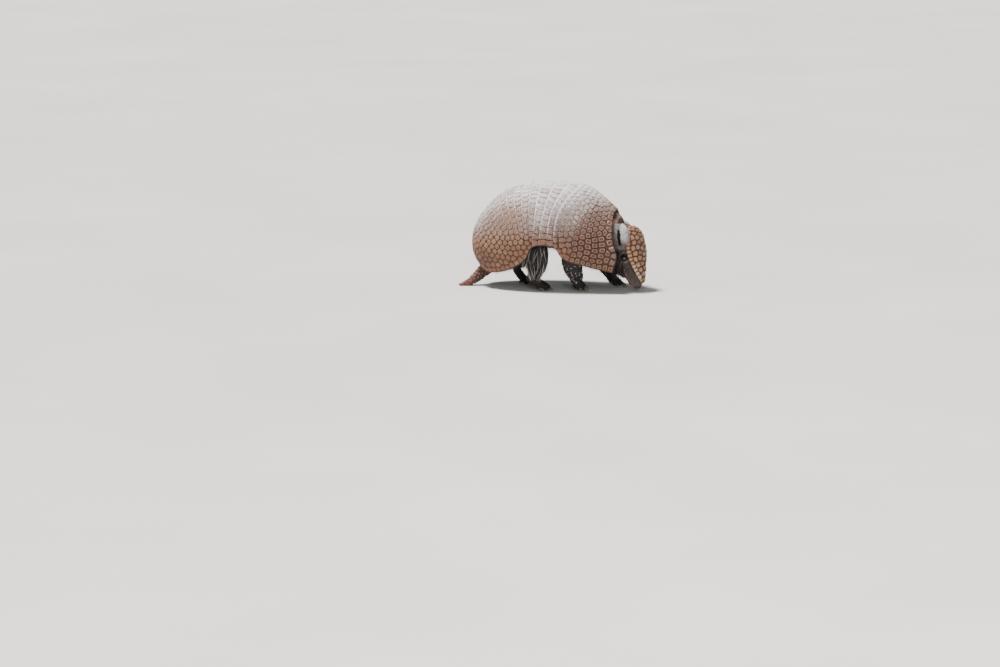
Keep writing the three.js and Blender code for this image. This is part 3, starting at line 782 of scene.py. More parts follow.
def crown_horn():
    f = Finish("crown_horn")
    tint, share, side = f.mark("tint"), f.mark("share"), f.mark("side")
    middle = f.ramp(
        tint, (0.1, (0.17, 0.065, 0.036)), (0.5, (0.25, 0.12, 0.066)), (0.9, (0.24, 0.17, 0.09)))
    margin = f.ramp(
        tint, (0.1, (0.34, 0.12, 0.065)), (0.35, (0.35, 0.165, 0.10)), (0.6, (0.42, 0.235, 0.10)),
        (0.75, (0.34, 0.27, 0.09)), (0.9, (0.56, 0.40, 0.30)))
    base = f.blend(side, middle, margin)
    grit = f.noise(1500, 6)
    base = f.blend(f.level(grit, 0.4, 0.75, 0.0, 0.55), base, (0.12, 0.07, 0.045))
    rubbed = f.blend(f.level(share, 0.2, 0.7, 0.16, 0.0), base, (0.60, 0.50, 0.40))
    pits = f.times(f.level(f.cells(620), 0.1, 0.35, 0.75, 0.0), f.level(side, 0.0, 1.0, 1.0, 0.2))
    rubbed = f.blend(pits, rubbed, (0.05, 0.03, 0.02))
    colour = f.blend(f.level(share, 0.84, 1.0), rubbed, (0.04, 0.024, 0.016))
    relief = f.bump(f.cells(900, 0.5), 0.2, 0.6)
    relief = f.bump(f.noise(3600, 5), 0.06, 0.6, relief)
    return f.finish(colour, f.level(grit, 0.3, 0.7, 0.42, 0.7), relief)


MARGIN_INSET, MARGIN_WIDTH, CROWN_WIDTH = 2.0, 5.4, 7.0
CROWN_LEAST_ROOM, CROWN_ROOM = 4.6, 6.9
rng = np.random.default_rng(23)
rows = np.linspace(0.045, 0.955, 12)
margin = rim_centres(crown_surface, MARGIN_INSET, MARGIN_WIDTH)
seeds = np.vstack([margin, centre_rows(crown_surface, rows, CROWN_WIDTH, range(0, 12))])
seeds = thinned(crown_surface, seeds, CROWN_LEAST_ROOM)
on_margin = np.abs(seeds[:, 1] - 0.5) > 0.44
seeds += rng.normal(0, 0.012, seeds.shape) * (~on_margin)[:, None]
free = np.where(on_margin, 0.05, 1.0)
seeds = spread_out(crown_surface, np.clip(seeds, 0.03, 0.985), CROWN_ROOM, free)
print("the crown has", len(seeds), "scutes")
rough = rng.normal(0, 0.1, (len(seeds), 4))
heights = np.array([0.62, 0.6, 0.5, 0.28]) + rough
places, _ = scutes(crown_surface, seeds, groove=0.3, heights=heights, sink=1.0, widest=6.0)
side = np.abs(2 * seeds[:, 1] - 1)
share = np.broadcast_to(np.hypot(*DISC[0].T[:2]), places.shape[:2])
tints = np.interp(seeds[:, 0], (0.1, 0.35, 0.55, 0.7, 0.95), (0.1, 0.2, 0.4, 0.6, 0.75))
tints = np.where(on_margin & (seeds[:, 0] > 0.72) & (seeds[:, 0] < 0.93), 0.9, tints)
tints = np.where(side > 0.6, tints + rng.normal(0, 0.07, len(seeds)), rng.random(len(seeds)))
mesh = repeated("head_shield_scutes", DISC, places, tint=np.clip(tints, 0, 1), share=share,
                side=ramp(side, 0.55, 0.8))
keep("head_shield_scutes", mesh, crown_horn())
sheet = bone_sheet("head_shield_bone", crown_surface, 40, 40)
keep("head_shield_bone", sheet, GROOVE, ["head_shield"])

# %% [markdown]
# ## Ears
# The ear is a leathery sheet, rolled nearly into a tube, so from the side it shows a dark slit between
# two lobes. A grid is bent to that roll and solidify thickens it. It is made before the skin, because
# the skin is melted over it.

# %% A rolled ear
EAR_LENGTH, EAR_WIDTH, EAR_WALL = 33, 12.5, 1.7
EARS = {"left": ((15, 16, -8), 195, 16), "right": ((24, -16, -8), 168, 14)}  # root, lean, flare
HANDS = {"right": -1, "left": 1}  # which way out is on each side


def ear_matrix(side):
    root, lean, flare = EARS[side]
    flare = math.radians(-HANDS[side] * flare)
    return (HEAD @ Matrix.Translation(root) @ Matrix.Rotation(flare, 4, "Z")
            @ Matrix.Rotation(math.radians(-lean), 4, "Y"))


def own_of_ear(points, side):
    """Points in an ear's own frame: +X to its tip, +Y to the left and +Z to its rear lobe."""
    matrix = ear_matrix(side)
    return (points - np.array(matrix.translation)) @ np.array(matrix.to_3x3())


def rolled_ear(side):
    hand = HANDS[side]
    bm = bmesh.new()
    bmesh.ops.create_grid(bm, x_segments=44, y_segments=56, size=0.5)
    place = np.array([v.co[:2] for v in bm.verts]) + 0.5
    along, across = place.T
    swell = np.sin(math.pi * np.minimum(along * 0.72 + 0.06, 1))
    width = EAR_WIDTH * (0.42 + 0.58 * swell) * np.sqrt(np.maximum(1 - along**4, 0.06))
    angle = hand * np.radians(177 - 4 * np.sin(math.pi * along)) * (1 - 2 * across)
    width = width * (1 + 0.05 * np.sin(angle * 3 + along * 5) * along)  # the rim is never quite even
    out = hand * (3.5 * np.sin(math.pi * along) - 0.52 * width * np.cos(angle))
    points = np.stack([along * EAR_LENGTH, out, width * np.sin(angle)], -1)
    matrix = ear_matrix(side)
    for vert, co in zip(bm.verts, points):
        vert.co = (matrix @ Vector(co)) * MM
    bmesh.ops.recalc_face_normals(bm, faces=bm.faces)
    bmesh.ops.solidify(bm, geom=bm.faces[:], thickness=EAR_WALL * MM)
    bmesh.ops.recalc_face_normals(bm, faces=bm.faces)
    return bm


# %% [markdown]
# ## One skin
# Trunk, neck, head, legs, feet and tail are separate solids with thin gaps. A living skin has no seams,
# so copies of them are swollen until they meet, and a voxel remesh melts them into one mesh together
# with the rolled ears and some lumps of soft flesh. It is smoothed, and only then shaped with lids,
# folds, a mouth and toes.

# %% Melt the flesh into one mesh
FLESH = ["trunk", "tail", "neck", "head", "hindleg_right", "hindfoot_right", "hindleg_left",
         "hindfoot_left", "foreleg_right", "forefoot_right", "foreleg_left", "forefoot_left"]
SWELL = 0.45  # mm, closes the gaps between the solids
VOXEL = 0.95  # mm, the size of the remesh's voxels; mm, which keeps the finished skin under 200,000 triangles


def merged(node, swell=0.0):
    """A bmesh of a CAD node's solid with its loose triangles joined, swollen by some mm."""
    bm = bmesh.new()
    bm.from_mesh(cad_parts[node].data)
    bmesh.ops.remove_doubles(bm, verts=bm.verts, dist=1e-6)
    bm.normal_update()
    for vert in bm.verts:
        vert.co += vert.normal * swell * MM
    return bm


def after(mesh, kind, chosen=(), **settings):
    """The mesh as a modifier leaves it. chosen are the points that it may change, or none for all."""
    holder = placed("holder", mesh)
    modifier = holder.modifiers.new("work", kind)
    if len(chosen):
        holder.vertex_groups.new(name="chosen").add([int(i) for i in chosen], 1.0, "REPLACE")
        modifier.vertex_group = "chosen"
    for key, value in settings.items():
        setattr(modifier, key, value)
    made = bpy.data.meshes.new_from_object(holder.evaluated_get(bpy.context.evaluated_depsgraph_get()))
    bpy.data.objects.remove(holder)
    return made


def melted(bmeshes, voxel):
    """One closed mesh round everything in the bmeshes."""
    together = bmesh.new()
    for bm in bmeshes:
        together.from_mesh(mesh_of(bm, "part"))
    return after(mesh_of(together, "together"), "REMESH", mode="VOXEL", voxel_size=voxel * MM)


# %% Tools for shaping a mesh
def numbers(items, key, width, kind=np.float32):
    """The numbers that many mesh items keep under a key, as rows of an array."""
    found = np.empty(len(items) * width, kind)
    items.foreach_get(key, found)
    return found.reshape(-1, width)


def corners_of(mesh):
    return numbers(mesh.vertices, "co", 3).astype(float) / MM


def normals_of(mesh):
    return numbers(mesh.vertex_normals, "vector", 3).astype(float)


def links_of(mesh):
    """The two points of each edge."""
    return numbers(mesh.edges, "vertices", 2, np.int32)


def set_corners(mesh, points):
    mesh.vertices.foreach_set("co", (points * MM).astype(np.float32).ravel())
    mesh.update()


def eased(values, links, rounds, share):
    """Each value moves towards the mean of its neighbours; share may differ from point to point."""
    degree = np.bincount(links.ravel(), minlength=len(values))[:, None]
    for _ in range(rounds):
        total = np.stack([
            np.bincount(links[:, 0], values[links[:, 1], k], len(values))
            + np.bincount(links[:, 1], values[links[:, 0], k], len(values))
            for k in range(values.shape[1])
        ], -1)
        values = values + (total / degree - values) * share
    return values


def outer_shell(mesh):
    """The mesh without the closed hollows that melting may leave inside it."""
    links, group = links_of(mesh), np.arange(len(mesh.vertices))
    while True:
        least = np.minimum(group[links[:, 0]], group[links[:, 1]])
        new = group.copy()
        np.minimum.at(new, links[:, 0], least)
        np.minimum.at(new, links[:, 1], least)
        new = new[new]
        if (new == group).all():
            break
        group = new
    names, sizes = np.unique(group, return_counts=True)
    print("closed surfaces:", len(sizes), "the largest with", sizes.max(), "points")
    bm = bmesh.new()
    bm.from_mesh(mesh)
    bm.verts.ensure_lookup_table()
    spare = [bm.verts[i] for i in np.flatnonzero(group != names[sizes.argmax()])]
    bmesh.ops.delete(bm, geom=spare, context="VERTS")
    return mesh_of(bm, "outer")


# %% Lumps of soft flesh, and the melt
# Each is a centre in mm and a radius. The nape fills the mouth of the shell, and the throat, in the
# head's frame, hangs from the jaw to the chest.
NAPE = [((75, 0, 85), 19), ((72, 14, 81), 19), ((72, -14, 81), 19)]
THROAT = [((14, 0, -22), 14.5), ((26, 0, -25), 15), ((37, 0, -25), 12.5), ((47, 0, -22.5), 9.5),
          ((56, 0, -18), 5.5)]


def lump(centre, radius):
    bm, place = bmesh.new(), Matrix.Translation(centre * MM)
    bmesh.ops.create_icosphere(bm, subdivisions=3, radius=radius * MM, matrix=place)
    return bm


lumps = [lump(Vector(at), radius) for at, radius in NAPE]
lumps += [lump(HEAD @ Vector(at), radius) for at, radius in THROAT]
solids = [merged(node, SWELL) for node in FLESH]
skin = outer_shell(melted(solids + lumps + [rolled_ear(side) for side in EARS], VOXEL))
print("the melted skin has", len(skin.polygons), "faces")

# %% [markdown]
# ## Which part of the skin is which
# Wrinkles, colours, scales and hairs differ from part to part. For every point of the skin the nearest
# solid tells its part, and easing those shares over the mesh gives soft borders.

# %% Shares of each part
EAR_NODES = ["ear_left", "ear_right"]
EAR_REACH = 1.8  # mm from the rolled ear, past which a point is the neck's
PARTS = {
    "trunk": ["trunk"], "tail": ["tail"], "neck": ["neck"], "head": ["head", "head_shield"],
    "ear": EAR_NODES,
    "thigh": [f"hindleg_{s}" for s in HANDS], "arm": [f"foreleg_{s}" for s in HANDS],
    "foot": [f"{k}foot_{s}" for k in ("hind", "fore") for s in HANDS],
}


def part_shares(mesh, points):
    """For each part, how much each point belongs to it, from 0 to 1."""
    together, owner = bmesh.new(), []
    for number, (part, nodes) in enumerate(PARTS.items()):
        for node in nodes:
            side = node.rsplit("_", 1)[-1]
            solid = mesh_of(rolled_ear(side), "rolled") if part == "ear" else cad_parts[node].data
            together.from_mesh(solid)
            owner += [number] * len(solid.polygons)
    tree = BVHTree.FromBMesh(together)
    together.free()
    names = list(PARTS)
    nearest = np.array([tree.find_nearest(p)[2:] for p in points * MM])
    far_from_ear = nearest[:, 1] > EAR_REACH * MM
    nearest = np.array(owner)[nearest[:, 0].astype(int)]
    nearest[far_from_ear & (nearest == names.index("ear"))] = names.index("neck")
    shares = (nearest[:, None] == np.arange(len(PARTS))).astype(float)
    return dict(zip(PARTS, eased(shares, links_of(mesh), 3, 0.6).T))


# %% Smooth the skin, and thin it where the shell hides it
points = corners_of(skin)
shares = part_shares(skin, points)
up_ear = np.max([ramp(own_of_ear(points, side)[:, 0], 0, 9) for side in EARS], 0)
firm = 0.84 * shares["ear"] * up_ear + 0.75 * shares["tail"] + 0.3 * shares["foot"]
set_corners(skin, eased(points, links_of(skin), 22, 0.5 * (1 - firm)[:, None]))


def under_shell(points, normals):
    """Points that look straight at the inside of the shell, well above its rim."""
    plates = bmesh.new()
    for node in PLATES:
        plates.from_mesh(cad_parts[node].data)
    tree = BVHTree.FromBMesh(plates)
    plates.free()
    order = np.argsort([p[0] for p in RIM])
    rim_height = np.interp(points[:, 0], np.array(RIM)[order, 0], np.array(RIM)[order, 1])
    found = []
    for i in np.flatnonzero((points[:, 2] > rim_height + 9) & (points[:, 0] < 70)):
        if tree.ray_cast(points[i] * MM, normals[i], 14 * MM)[0] is not None:
            found.append(i)
    return found


hidden = under_shell(corners_of(skin), normals_of(skin))
keep_share = 1 - 0.92 * len(hidden) / len(skin.vertices)
skin = after(skin, "DECIMATE", hidden, ratio=keep_share, use_collapse_triangulate=True)
print("thinned under the shell, it has", len(skin.polygons), "faces")

# %% [markdown]
# ## Shaping the skin
# The remesh left faces of one size, fine enough for a flank but not for an eyelid. Those round the
# eyes, mouth and nostrils are divided first, and then points are moved by short formulas, in the head's
# own frame, as a sculptor would push clay.

# %% Finer faces where the face needs them
EYE_RADIUS = 3.6
LID_EDGE = 3.0  # mm from the eye's middle to the edge of its lids
EYES = {side: to_head(np.array(eye_centre[side])) for side in HANDS}
MOUTH = [(80.5, -5.0), (76, -6.6), (68, -9.6), (60, -12.2), (50, -13.6)]  # along and up, nose to corner


def mouth_height(x):
    xs, zs = np.array(MOUTH[::-1]).T
    return np.interp(x, xs, zs)


def divided(mesh, wanted):
    """The mesh with the edges between wanted points cut in two."""
    bm = bmesh.new()
    bm.from_mesh(mesh)
    bm.verts.ensure_lookup_table()
    edges = [e for e in bm.edges if wanted[e.verts[0].index] and wanted[e.verts[1].index]]
    bmesh.ops.subdivide_edges(bm, edges=edges, cuts=1, smooth=1.0, use_grid_fill=True)
    bmesh.ops.triangulate(bm, faces=[f for f in bm.faces if len(f.verts) > 4])
    return mesh_of(bm, "divided")


def from_eyes(spots):
    """How far each point is from the nearer eye."""
    return np.minimum(*(np.linalg.norm(spots - EYES[s], axis=1) for s in HANDS))


for reach in (9.0, 6.5):
    spots = to_head(corners_of(skin))
    by_eye = from_eyes(spots) < reach
    by_mouth = (spots[:, 0] > 48) & (np.abs(spots[:, 2] - mouth_height(spots[:, 0])) < reach / 3)
    by_nose = spots[:, 0] > 86 - reach
    on_head = np.linalg.norm(spots - [40, 0, -4], axis=1) < 52
    skin = divided(skin, (by_eye | by_mouth | by_nose) & on_head)
print("skin has", len(skin.polygons), "faces")


# %% Lids, mouth, nostrils
def bell(distance, width):
    return np.exp(-((distance / width) ** 2))


def shape_lids(spots):
    """Two thick lids round an eye that is a little longer than it is high."""
    for side, hand in HANDS.items():
        out = np.array([0.12, hand, 0.10])
        out /= np.linalg.norm(out)
        offset = spots - EYES[side]
        height = offset @ out
        flat = offset - height[:, None] * out
        ring = np.hypot(flat[:, 0] / 1.16, flat[:, 2] / 0.90)
        true_ring = np.linalg.norm(flat, axis=1)
        ball = np.sqrt(np.maximum(EYE_RADIUS**2 - np.minimum(true_ring, 3.5) ** 2, 0))
        lid = ball + 0.25 + 1.15 * bell(ring - LID_EDGE - 0.9, 0.9)
        lid -= 0.35 * np.maximum(ring - LID_EDGE - 1, 0)
        lid -= 0.5 * bell(ring - 5.6, 0.6) - 0.25 * bell(ring - 6.8, 0.6)
        target = np.where(ring < LID_EDGE, ball - 1.1, lid)
        share = (1 - ramp(ring, 4.8, 7.8)) * (np.abs(height) < 8) * (true_ring < 9)
        spots = spots + (share * (target - height))[:, None] * out
    return spots


def shape_mouth(spots, normals):
    """Rounds off the snout, cuts the line of the mouth between two lips and presses in the nostrils."""
    x, y, z = spots.T
    round_off = np.hypot(y / 6.4, (z + 2.6) / 6.6) ** 2.2 * ramp(x, 69, 79)
    spots = spots - np.array([2.6, 0, 0]) * np.minimum(round_off, 1.3)[:, None]
    off = z - mouth_height(x)
    along = ramp(x, 49.5, 55)
    depth = -1.25 * bell(off, 0.55) + 0.45 * bell(off + 1.5, 0.9) + 0.35 * bell(off - 1.5, 0.9)
    moved = spots + normals * (depth * along * (z < 0))[:, None]
    for hand in (-1, 1):
        gap = np.linalg.norm((spots - [79.5, hand * 2.6, -0.6]) * [0.7, 1.0, 1.15], axis=1)
        moved = moved - np.array([1.0, -hand * 0.25, 0]) * (2.3 * bell(gap, 1.25))[:, None]
        moved = moved + normals * (0.4 * bell(gap - 2.3, 0.8))[:, None]
    return moved


def folds(points, size, stretch=(1, 1, 1), seed=0.0):
    """Creases as ridged noise: near 0 on the skin, down to -1 in a crease."""
    scaled = points / size / np.array(stretch)
    values = [noise.noise(Vector(p) + Vector((seed, 0, 0))) for p in scaled]
    return -(1 - np.minimum(np.abs(values) * 4.5, 1)) ** 2


points, normals = corners_of(skin), normals_of(skin)
shares = part_shares(skin, points)
spots = shape_lids(to_head(points))
spots = shape_mouth(spots, normals @ HEAD_TURN)
points = from_head(spots)
away = from_eyes(spots)
face = shares["head"] * ramp(away, 4.5, 8)
loose = shares["neck"] + shares["trunk"] + shares["thigh"] + shares["arm"]
crease = face * (0.32 * folds(spots, 3.4, (1, 1, 0.6)) + 0.22 * folds(spots, 7.5, (0.5, 1, 1.4), 9.0))
crease += loose * (0.5 * folds(points, 6.5, (1.3, 1.3, 0.6), 4.0) + 0.25 * folds(points, 2.6, seed=7.0))
crease += shares["ear"] * 0.3 * folds(points, 3.2, (1, 1, 2.2), 2.0)
crease += shares["foot"] * 0.3 * folds(points, 3.0)
points += normals * (crease - 0.35)[:, None]

# %% [markdown]
# ## Toes
# A foot solid is one rounded block. The skin between two claws is pressed in along a short groove, and
# a low ridge is left behind each claw, so that every claw has a toe of its own.

# %% Press in the gaps between toes
CLAWS = sorted(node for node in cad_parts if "claw" in node)


def box_of(node):
    """A node's lowest and highest corner, in mm."""
    return [np.array(corner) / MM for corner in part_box(node)]


def claw_line(node):
    """Root, tip and direction of a claw, in mm, from its solid."""
    bm = merged(node)
    own = np.array([v.co[:] for v in bm.verts]) / MM
    bm.free()
    low, high = box_of(node.rsplit("_", 1)[0].replace("claw", "foot"))
    order = np.argsort(np.linalg.norm((own - (low + high) / 2)[:, :2], axis=1))
    root, tip = own[order[:5]].mean(0), own[order[-3:]].mean(0)
    way = (tip - root) * [1, 1, 0]
    return root, tip, way / np.linalg.norm(way)


def to_segment(points, start, end):
    share = np.clip((points - start) @ (end - start) / ((end - start) @ (end - start)), 0, 1)
    return np.linalg.norm(points - start - share[:, None] * (end - start), axis=1), share


claws = {node: claw_line(node) for node in CLAWS}
for node in CLAWS:
    root, tip, way = claws[node]
    back = root - way * 8 + np.array([0, 0, 2.4])
    gap, share = to_segment(points, root - way * 0.5 + np.array([0, 0, 0.4]), back)
    points += normals * (0.75 * bell(gap - 1.6, 1.0) * (1 - share) * shares["foot"])[:, None]
    stem, number = node.rsplit("_", 1)
    after_it = f"{stem}_{int(number) + 1}"
    if after_it not in claws:
        continue
    middle = (root + claws[after_it][0]) / 2 + np.array([0, 0, 0.5])
    gap, share = to_segment(points, middle + way * 2, middle - way * 7.5 + np.array([0, 0, 3.5]))
    points -= normals * (2.0 * bell(gap, 1.15) * (1 - share**2) * shares["foot"])[:, None]
points[:, 2] = np.maximum(points[:, 2], 0.0)
set_corners(skin, points)
normals = normals_of(skin)

# %% [markdown]
# ## The skin's colours
# The hide is nearly black on the thighs, slate on the face, ashy on the ears with a rusty inside, and
# pink towards the tail's tip. The legs' near-black is dark skin made darker with painted shade from the
# shell over them. The inner side of each ear's roll gets painted shade in its slit, and the lids round
# each eye get a painted near-black ring of dark margin and shade. These tones are painted on the points
# from the parts' shares, and the material adds grain, dust on whatever faces up, and fine creases.

# %% Paint the tones
def painted_tone():
    tone = np.zeros((len(points), 3))
    # Thighs, arms and feet: dark skin, made darker still with painted shade from the shell above them.
    colours = {
        "trunk": (0.040, 0.032, 0.030), "neck": (0.06, 0.036, 0.031), "head": (0.062, 0.041, 0.037),
        "thigh": (0.016, 0.013, 0.013), "arm": (0.014, 0.011, 0.011), "foot": (0.022, 0.017, 0.015),
        "tail": (0.06, 0.032, 0.024), "ear": (0.20, 0.16, 0.15),
    }
    for part, colour in colours.items():
        tone += shares[part][:, None] * colour

    def wash(amount, colour):
        """Lays a colour over the tone, as thickly as amount says."""
        nonlocal tone
        tone = mix(tone, np.array(colour), np.clip(amount, 0, 1)[:, None])

    x, _, z = spots.T
    wash(shares["head"] * ramp(x, 52, 74) * 0.6, (0.15, 0.12, 0.115))
    lips = bell(z - mouth_height(x), 0.85) * ramp(x, 48, 56) * shares["head"] * (z < 0)
    wash(lips * 0.85, (0.42, 0.20, 0.17))
    wash(bell(away - 6.4, 1.0) * 0.8, (0.27, 0.24, 0.235))
    # Painted near black round the eye: the dark lid margin, together with painted shade where the lids meet
    # the eye.
    wash(bell(away - 4.0, 1.2) * 0.95, (0.006, 0.005, 0.005))
    nape = shares["neck"] * ramp(points[:, 2], 74, 92)
    wash(nape * 0.9, (0.42, 0.17, 0.095))
    wash(nape * ramp(normals[:, 2], 0.5, 0.95) * 0.35, (0.75, 0.68, 0.64))
    wash(shares["tail"] * ramp(-points[:, 0], 96, 116) * 0.9, (0.28, 0.10, 0.075))
    for side, hand in HANDS.items():
        own = own_of_ear(points, side)
        facing = normals @ np.array(ear_matrix(side).to_3x3())
        inner = own[:, 1] * facing[:, 1] / 0.21 + own[:, 2] * facing[:, 2] < 0
        near = shares["ear"] * (points[:, 1] * hand > 0) * ramp(own[:, 0], 2, 7)
        wash(near * ramp(-own[:, 2], 1, 4) * ramp(own[:, 0], 6, 16) * 0.9, (0.74, 0.72, 0.715))
        wash(near * ramp(np.abs(own[:, 2]), 8, 13) * 0.6, (0.12, 0.09, 0.08))
        wash(near * (1 - ramp(own[:, 0], 2, 13)) * 0.8, (0.08, 0.055, 0.05))
        # The inner side of the roll is painted dark reddish brown: painted shade in the ear's slit, lighter
        # towards the tip.
        wash(near * inner * (0.9 - 0.75 * ramp(own[:, 0], 15, 25)), (0.10, 0.05, 0.035))
        if side == "left":
            wash(near * ramp(-normals[:, 1], 0, 0.6) * ramp(own[:, 0], 16, 24) * 0.8, (0.48, 0.13, 0.045))
    return eased(tone, links_of(skin), 2, 0.5)


tone = painted_tone()
layer = skin.color_attributes.new("tone", "FLOAT_COLOR", "POINT")
layer.data.foreach_set("color", np.hstack([tone, np.ones((len(tone), 1))]).astype(np.float32).ravel())


def hide():
    f = Finish("hide")
    tone = f.node("Attribute", attribute_name="tone").outputs["Color"]
    grit, fine = f.noise(420, 6), f.noise(2400, 4)
    pebbles = f.cells(820, 0.35)
    up = f.node("SeparateXYZ", {0: f.node("NewGeometry").outputs["Normal"]}).outputs["Z"]
    base = f.blend(f.level(pebbles, 0.25, 0.6, 0.0, 0.6), tone, (0.012, 0.009, 0.008))
    base = f.blend(f.level(grit, 0.52, 0.72, 0.0, 0.5), base, f.blend(0.1, tone, (0.75, 0.68, 0.64)))
    dust = f.times(f.level(up, 0.1, 0.9), f.level(fine, 0.4, 0.7, 0.0, 0.35))
    base = f.blend(dust, base, f.blend(0.25, tone, (0.80, 0.74, 0.70)))
    relief = f.bump(pebbles, 0.3, 0.8)
    relief = f.bump(grit, 0.25, 0.5, relief)
    relief = f.bump(fine, 0.08, 0.5, relief)
    return f.finish(base, f.level(grit, 0.3, 0.7, 0.5, 0.78), relief, **{"Specular IOR Level": 0.28})


skin.name = "skin"
keep("skin", skin, hide(), FLESH + EAR_NODES)

# %% [markdown]
# ## Eyes
# The eye is a dark wet bead. A sphere with a slightly raised cornea stands in the lids; the dark brown
# iris hardly shows, and a clear coat gives the small sharp highlight.

# %% Eyeballs
def eyeball_finish():
    f = Finish("eyeball")
    colour = f.ramp(f.noise(600, 3), (0.3, (0.004, 0.003, 0.003)), (0.7, (0.014, 0.008, 0.006)))
    return f.finish(colour, 0.05, **{"Coat Weight": 0.5, "Coat Roughness": 0.02})


EYE_FINISH = eyeball_finish()
for side, hand in HANDS.items():
    bm = bmesh.new()
    bmesh.ops.create_icosphere(bm, subdivisions=4, radius=EYE_RADIUS * MM)
    look = Vector(HEAD.to_3x3() @ Vector((0.12, hand, 0.1))).normalized()
    for vert in bm.verts:
        vert.co *= 1 + 0.07 * ramp(vert.co.normalized().dot(look), 0.75, 0.97)
    bmesh.ops.translate(bm, verts=bm.verts, vec=eye_centre[side] * MM)
    keep("eyeball_" + side, mesh_of(bm, "eyeball_" + side), EYE_FINISH, ["eye_" + side])

# %% [markdown]
# ## Claws
# A claw is a curved cone of horn, streaked along its length, dark at the root and worn pale at the tip.
# The solids have few sides, so each is merged, rounded by two levels of subdivision and swollen a touch
# to make up for what rounding takes off.

# %% Claws
def claw_horn():
    f = Finish("claw_horn")
    far = f.mark("far")
    streaks = f.noise(1300, 5, 0.6)
    colour = f.ramp(
        far, (0.0, (0.075, 0.05, 0.038)), (0.45, (0.20, 0.145, 0.105)), (1.0, (0.52, 0.44, 0.35)))
    colour = f.blend(f.level(streaks, 0.4, 0.7, 0.0, 0.5), colour, (0.09, 0.06, 0.045))
    return f.finish(colour, f.level(streaks, 0.3, 0.7, 0.28, 0.5), f.bump(streaks, 0.12, 0.5))


CLAW_HORN = claw_horn()
CLAW_SWELL = 0.28  # mm
for node in CLAWS:
    mesh = after(mesh_of(merged(node, CLAW_SWELL), "claw"), "SUBSURF", levels=2, render_levels=2)
    own = corners_of(mesh)
    own[:, 2] = np.maximum(own[:, 2], 0)
    set_corners(mesh, own)
    root, tip, _ = claws[node]
    _, far = to_segment(own, root, tip)
    mesh.attributes.new("far", "FLOAT", "POINT").data.foreach_set("value", far.astype(np.float32))
    keep(node + "_horn", mesh, CLAW_HORN, [node])


# %% [markdown]
# ## Small scales on the skin
# Ears, legs, feet and tail are covered in small horny grains that lie a little over each other, like
# worn pebbles. Particle systems would be lost when the model leaves Blender, so each grain is a real
# domed disc. Roots are taken from the skin's own points, well apart, and each grain leans along the lie
# of the hide. Each one also gets a small patch on an unwrap of the skin, where its colour can be baked.

# %% Roots on the skin, and their places on its unwrap
def roots_on(wanted, room, rng):
    """Indices of skin points where wanted is true, in random order and at least room mm apart."""
    order = rng.permutation(np.flatnonzero(wanted))
    tree = KDTree(len(order))
    for i, index in enumerate(order):
        tree.insert(points[index], i)
    tree.balance()
    free, kept = np.ones(len(order), bool), []
    for i, index in enumerate(order):
        if free[i]:
            kept.append(index)
            for _, other, _ in tree.find_range(points[index], room):
                free[other] = False
    return np.array(kept, int)


def skin_unwrap():
    """A coarse copy of the skin with an unwrap: its triangles in space and in the unwrap."""
    coarse = after(skin.copy(), "DECIMATE", ratio=0.04, use_collapse_triangulate=True)
    holder = placed("coarse", coarse)
    bpy.context.view_layer.objects.active = holder
    holder.select_set(True)
    bpy.ops.object.mode_set(mode="EDIT")
    bpy.ops.mesh.select_all(action="SELECT")
    bpy.ops.uv.smart_project(angle_limit=math.radians(66), island_margin=0.01)
    bpy.ops.object.mode_set(mode="OBJECT")
    corners = [tuple(v.co) for v in coarse.vertices]
    triangles = [tuple(p.vertices) for p in coarse.polygons]
    flat = coarse.uv_layers.active.data
    spots = [[Vector((*flat[i].uv, 0)) for i in p.loop_indices] for p in coarse.polygons]
    bpy.data.objects.remove(holder)
    return BVHTree.FromPolygons(corners, triangles), corners, triangles, spots


UNWRAP = skin_unwrap()


def patches_of(roots):
    """Where roots on the skin lie on its unwrap."""
    tree, corners, triangles, spots = UNWRAP
    found = []
    for root in roots * MM:
        hit, _, face, _ = tree.find_nearest(root)
        abc = [Vector(corners[i]) for i in triangles[face]]
        found.append(barycentric_transform(hit, *abc, *spots[face])[:2])
    return np.array(found)


def lie_along(index, way):
    """Unit vectors along the skin at each root, as near as the skin lets them be to way."""
    out = normals[index]
    flat = way - (way * out).sum(1, keepdims=True) * out
    return flat / np.maximum(np.linalg.norm(flat, axis=1, keepdims=True), 1e-6)


# %% Grains, tubercles and leg scales
SCALE_RINGS = (0.5, 0.84, 1.0)
SCALE = ringed_disc(8, SCALE_RINGS)


def skin_scales(name, index, size, rise, lean, way, tints):
    """Domed discs on the skin's points: size is each one's half width, rise its height for its size,
    lean how far it stands up towards way."""
    down = lie_along(index, way)
    out = normals[index]
    side = np.cross(out, down)
    x, y = SCALE[0][:, 0], SCALE[0][:, 1]
    share = np.hypot(x, y)
    dome = rise * np.interp(share, (0, *SCALE_RINGS), (1, 0.86, 0.4, -0.7))
    flat = 1.12 * x[:, None] * down[:, None] + 0.95 * y[:, None] * side[:, None]
    lift = (dome + lean * x)[None, :, None] * out[:, None]
    places = points[index][:, None] + (flat + lift) * size[:, None, None]
    places[..., 2] = np.maximum(places[..., 2], 0.0)
    return repeated(name, SCALE, places, patches_of(points[index]), tint=tints,
                    share=np.broadcast_to(share, places.shape[:2]))


def scale_finish(name, dark, pale, edge, dot=0.62):
    """dot is where the scale's middle colour starts to give way to its edge colour."""
    f = Finish(name)
    share, grit = f.mark("share"), f.noise(1700, 5)
    base = f.blend(f.mark("tint"), dark, pale)
    base = f.blend(f.level(grit, 0.45, 0.7, 0.0, 0.45), base, edge)
    colour = f.blend(f.level(share, dot, dot + 0.38, 0.0, 0.9), base, edge)
    return f.finish(colour, f.level(grit, 0.3, 0.7, 0.48, 0.72), f.bump(grit, 0.1, 0.6),
                    **{"Specular IOR Level": 0.3})


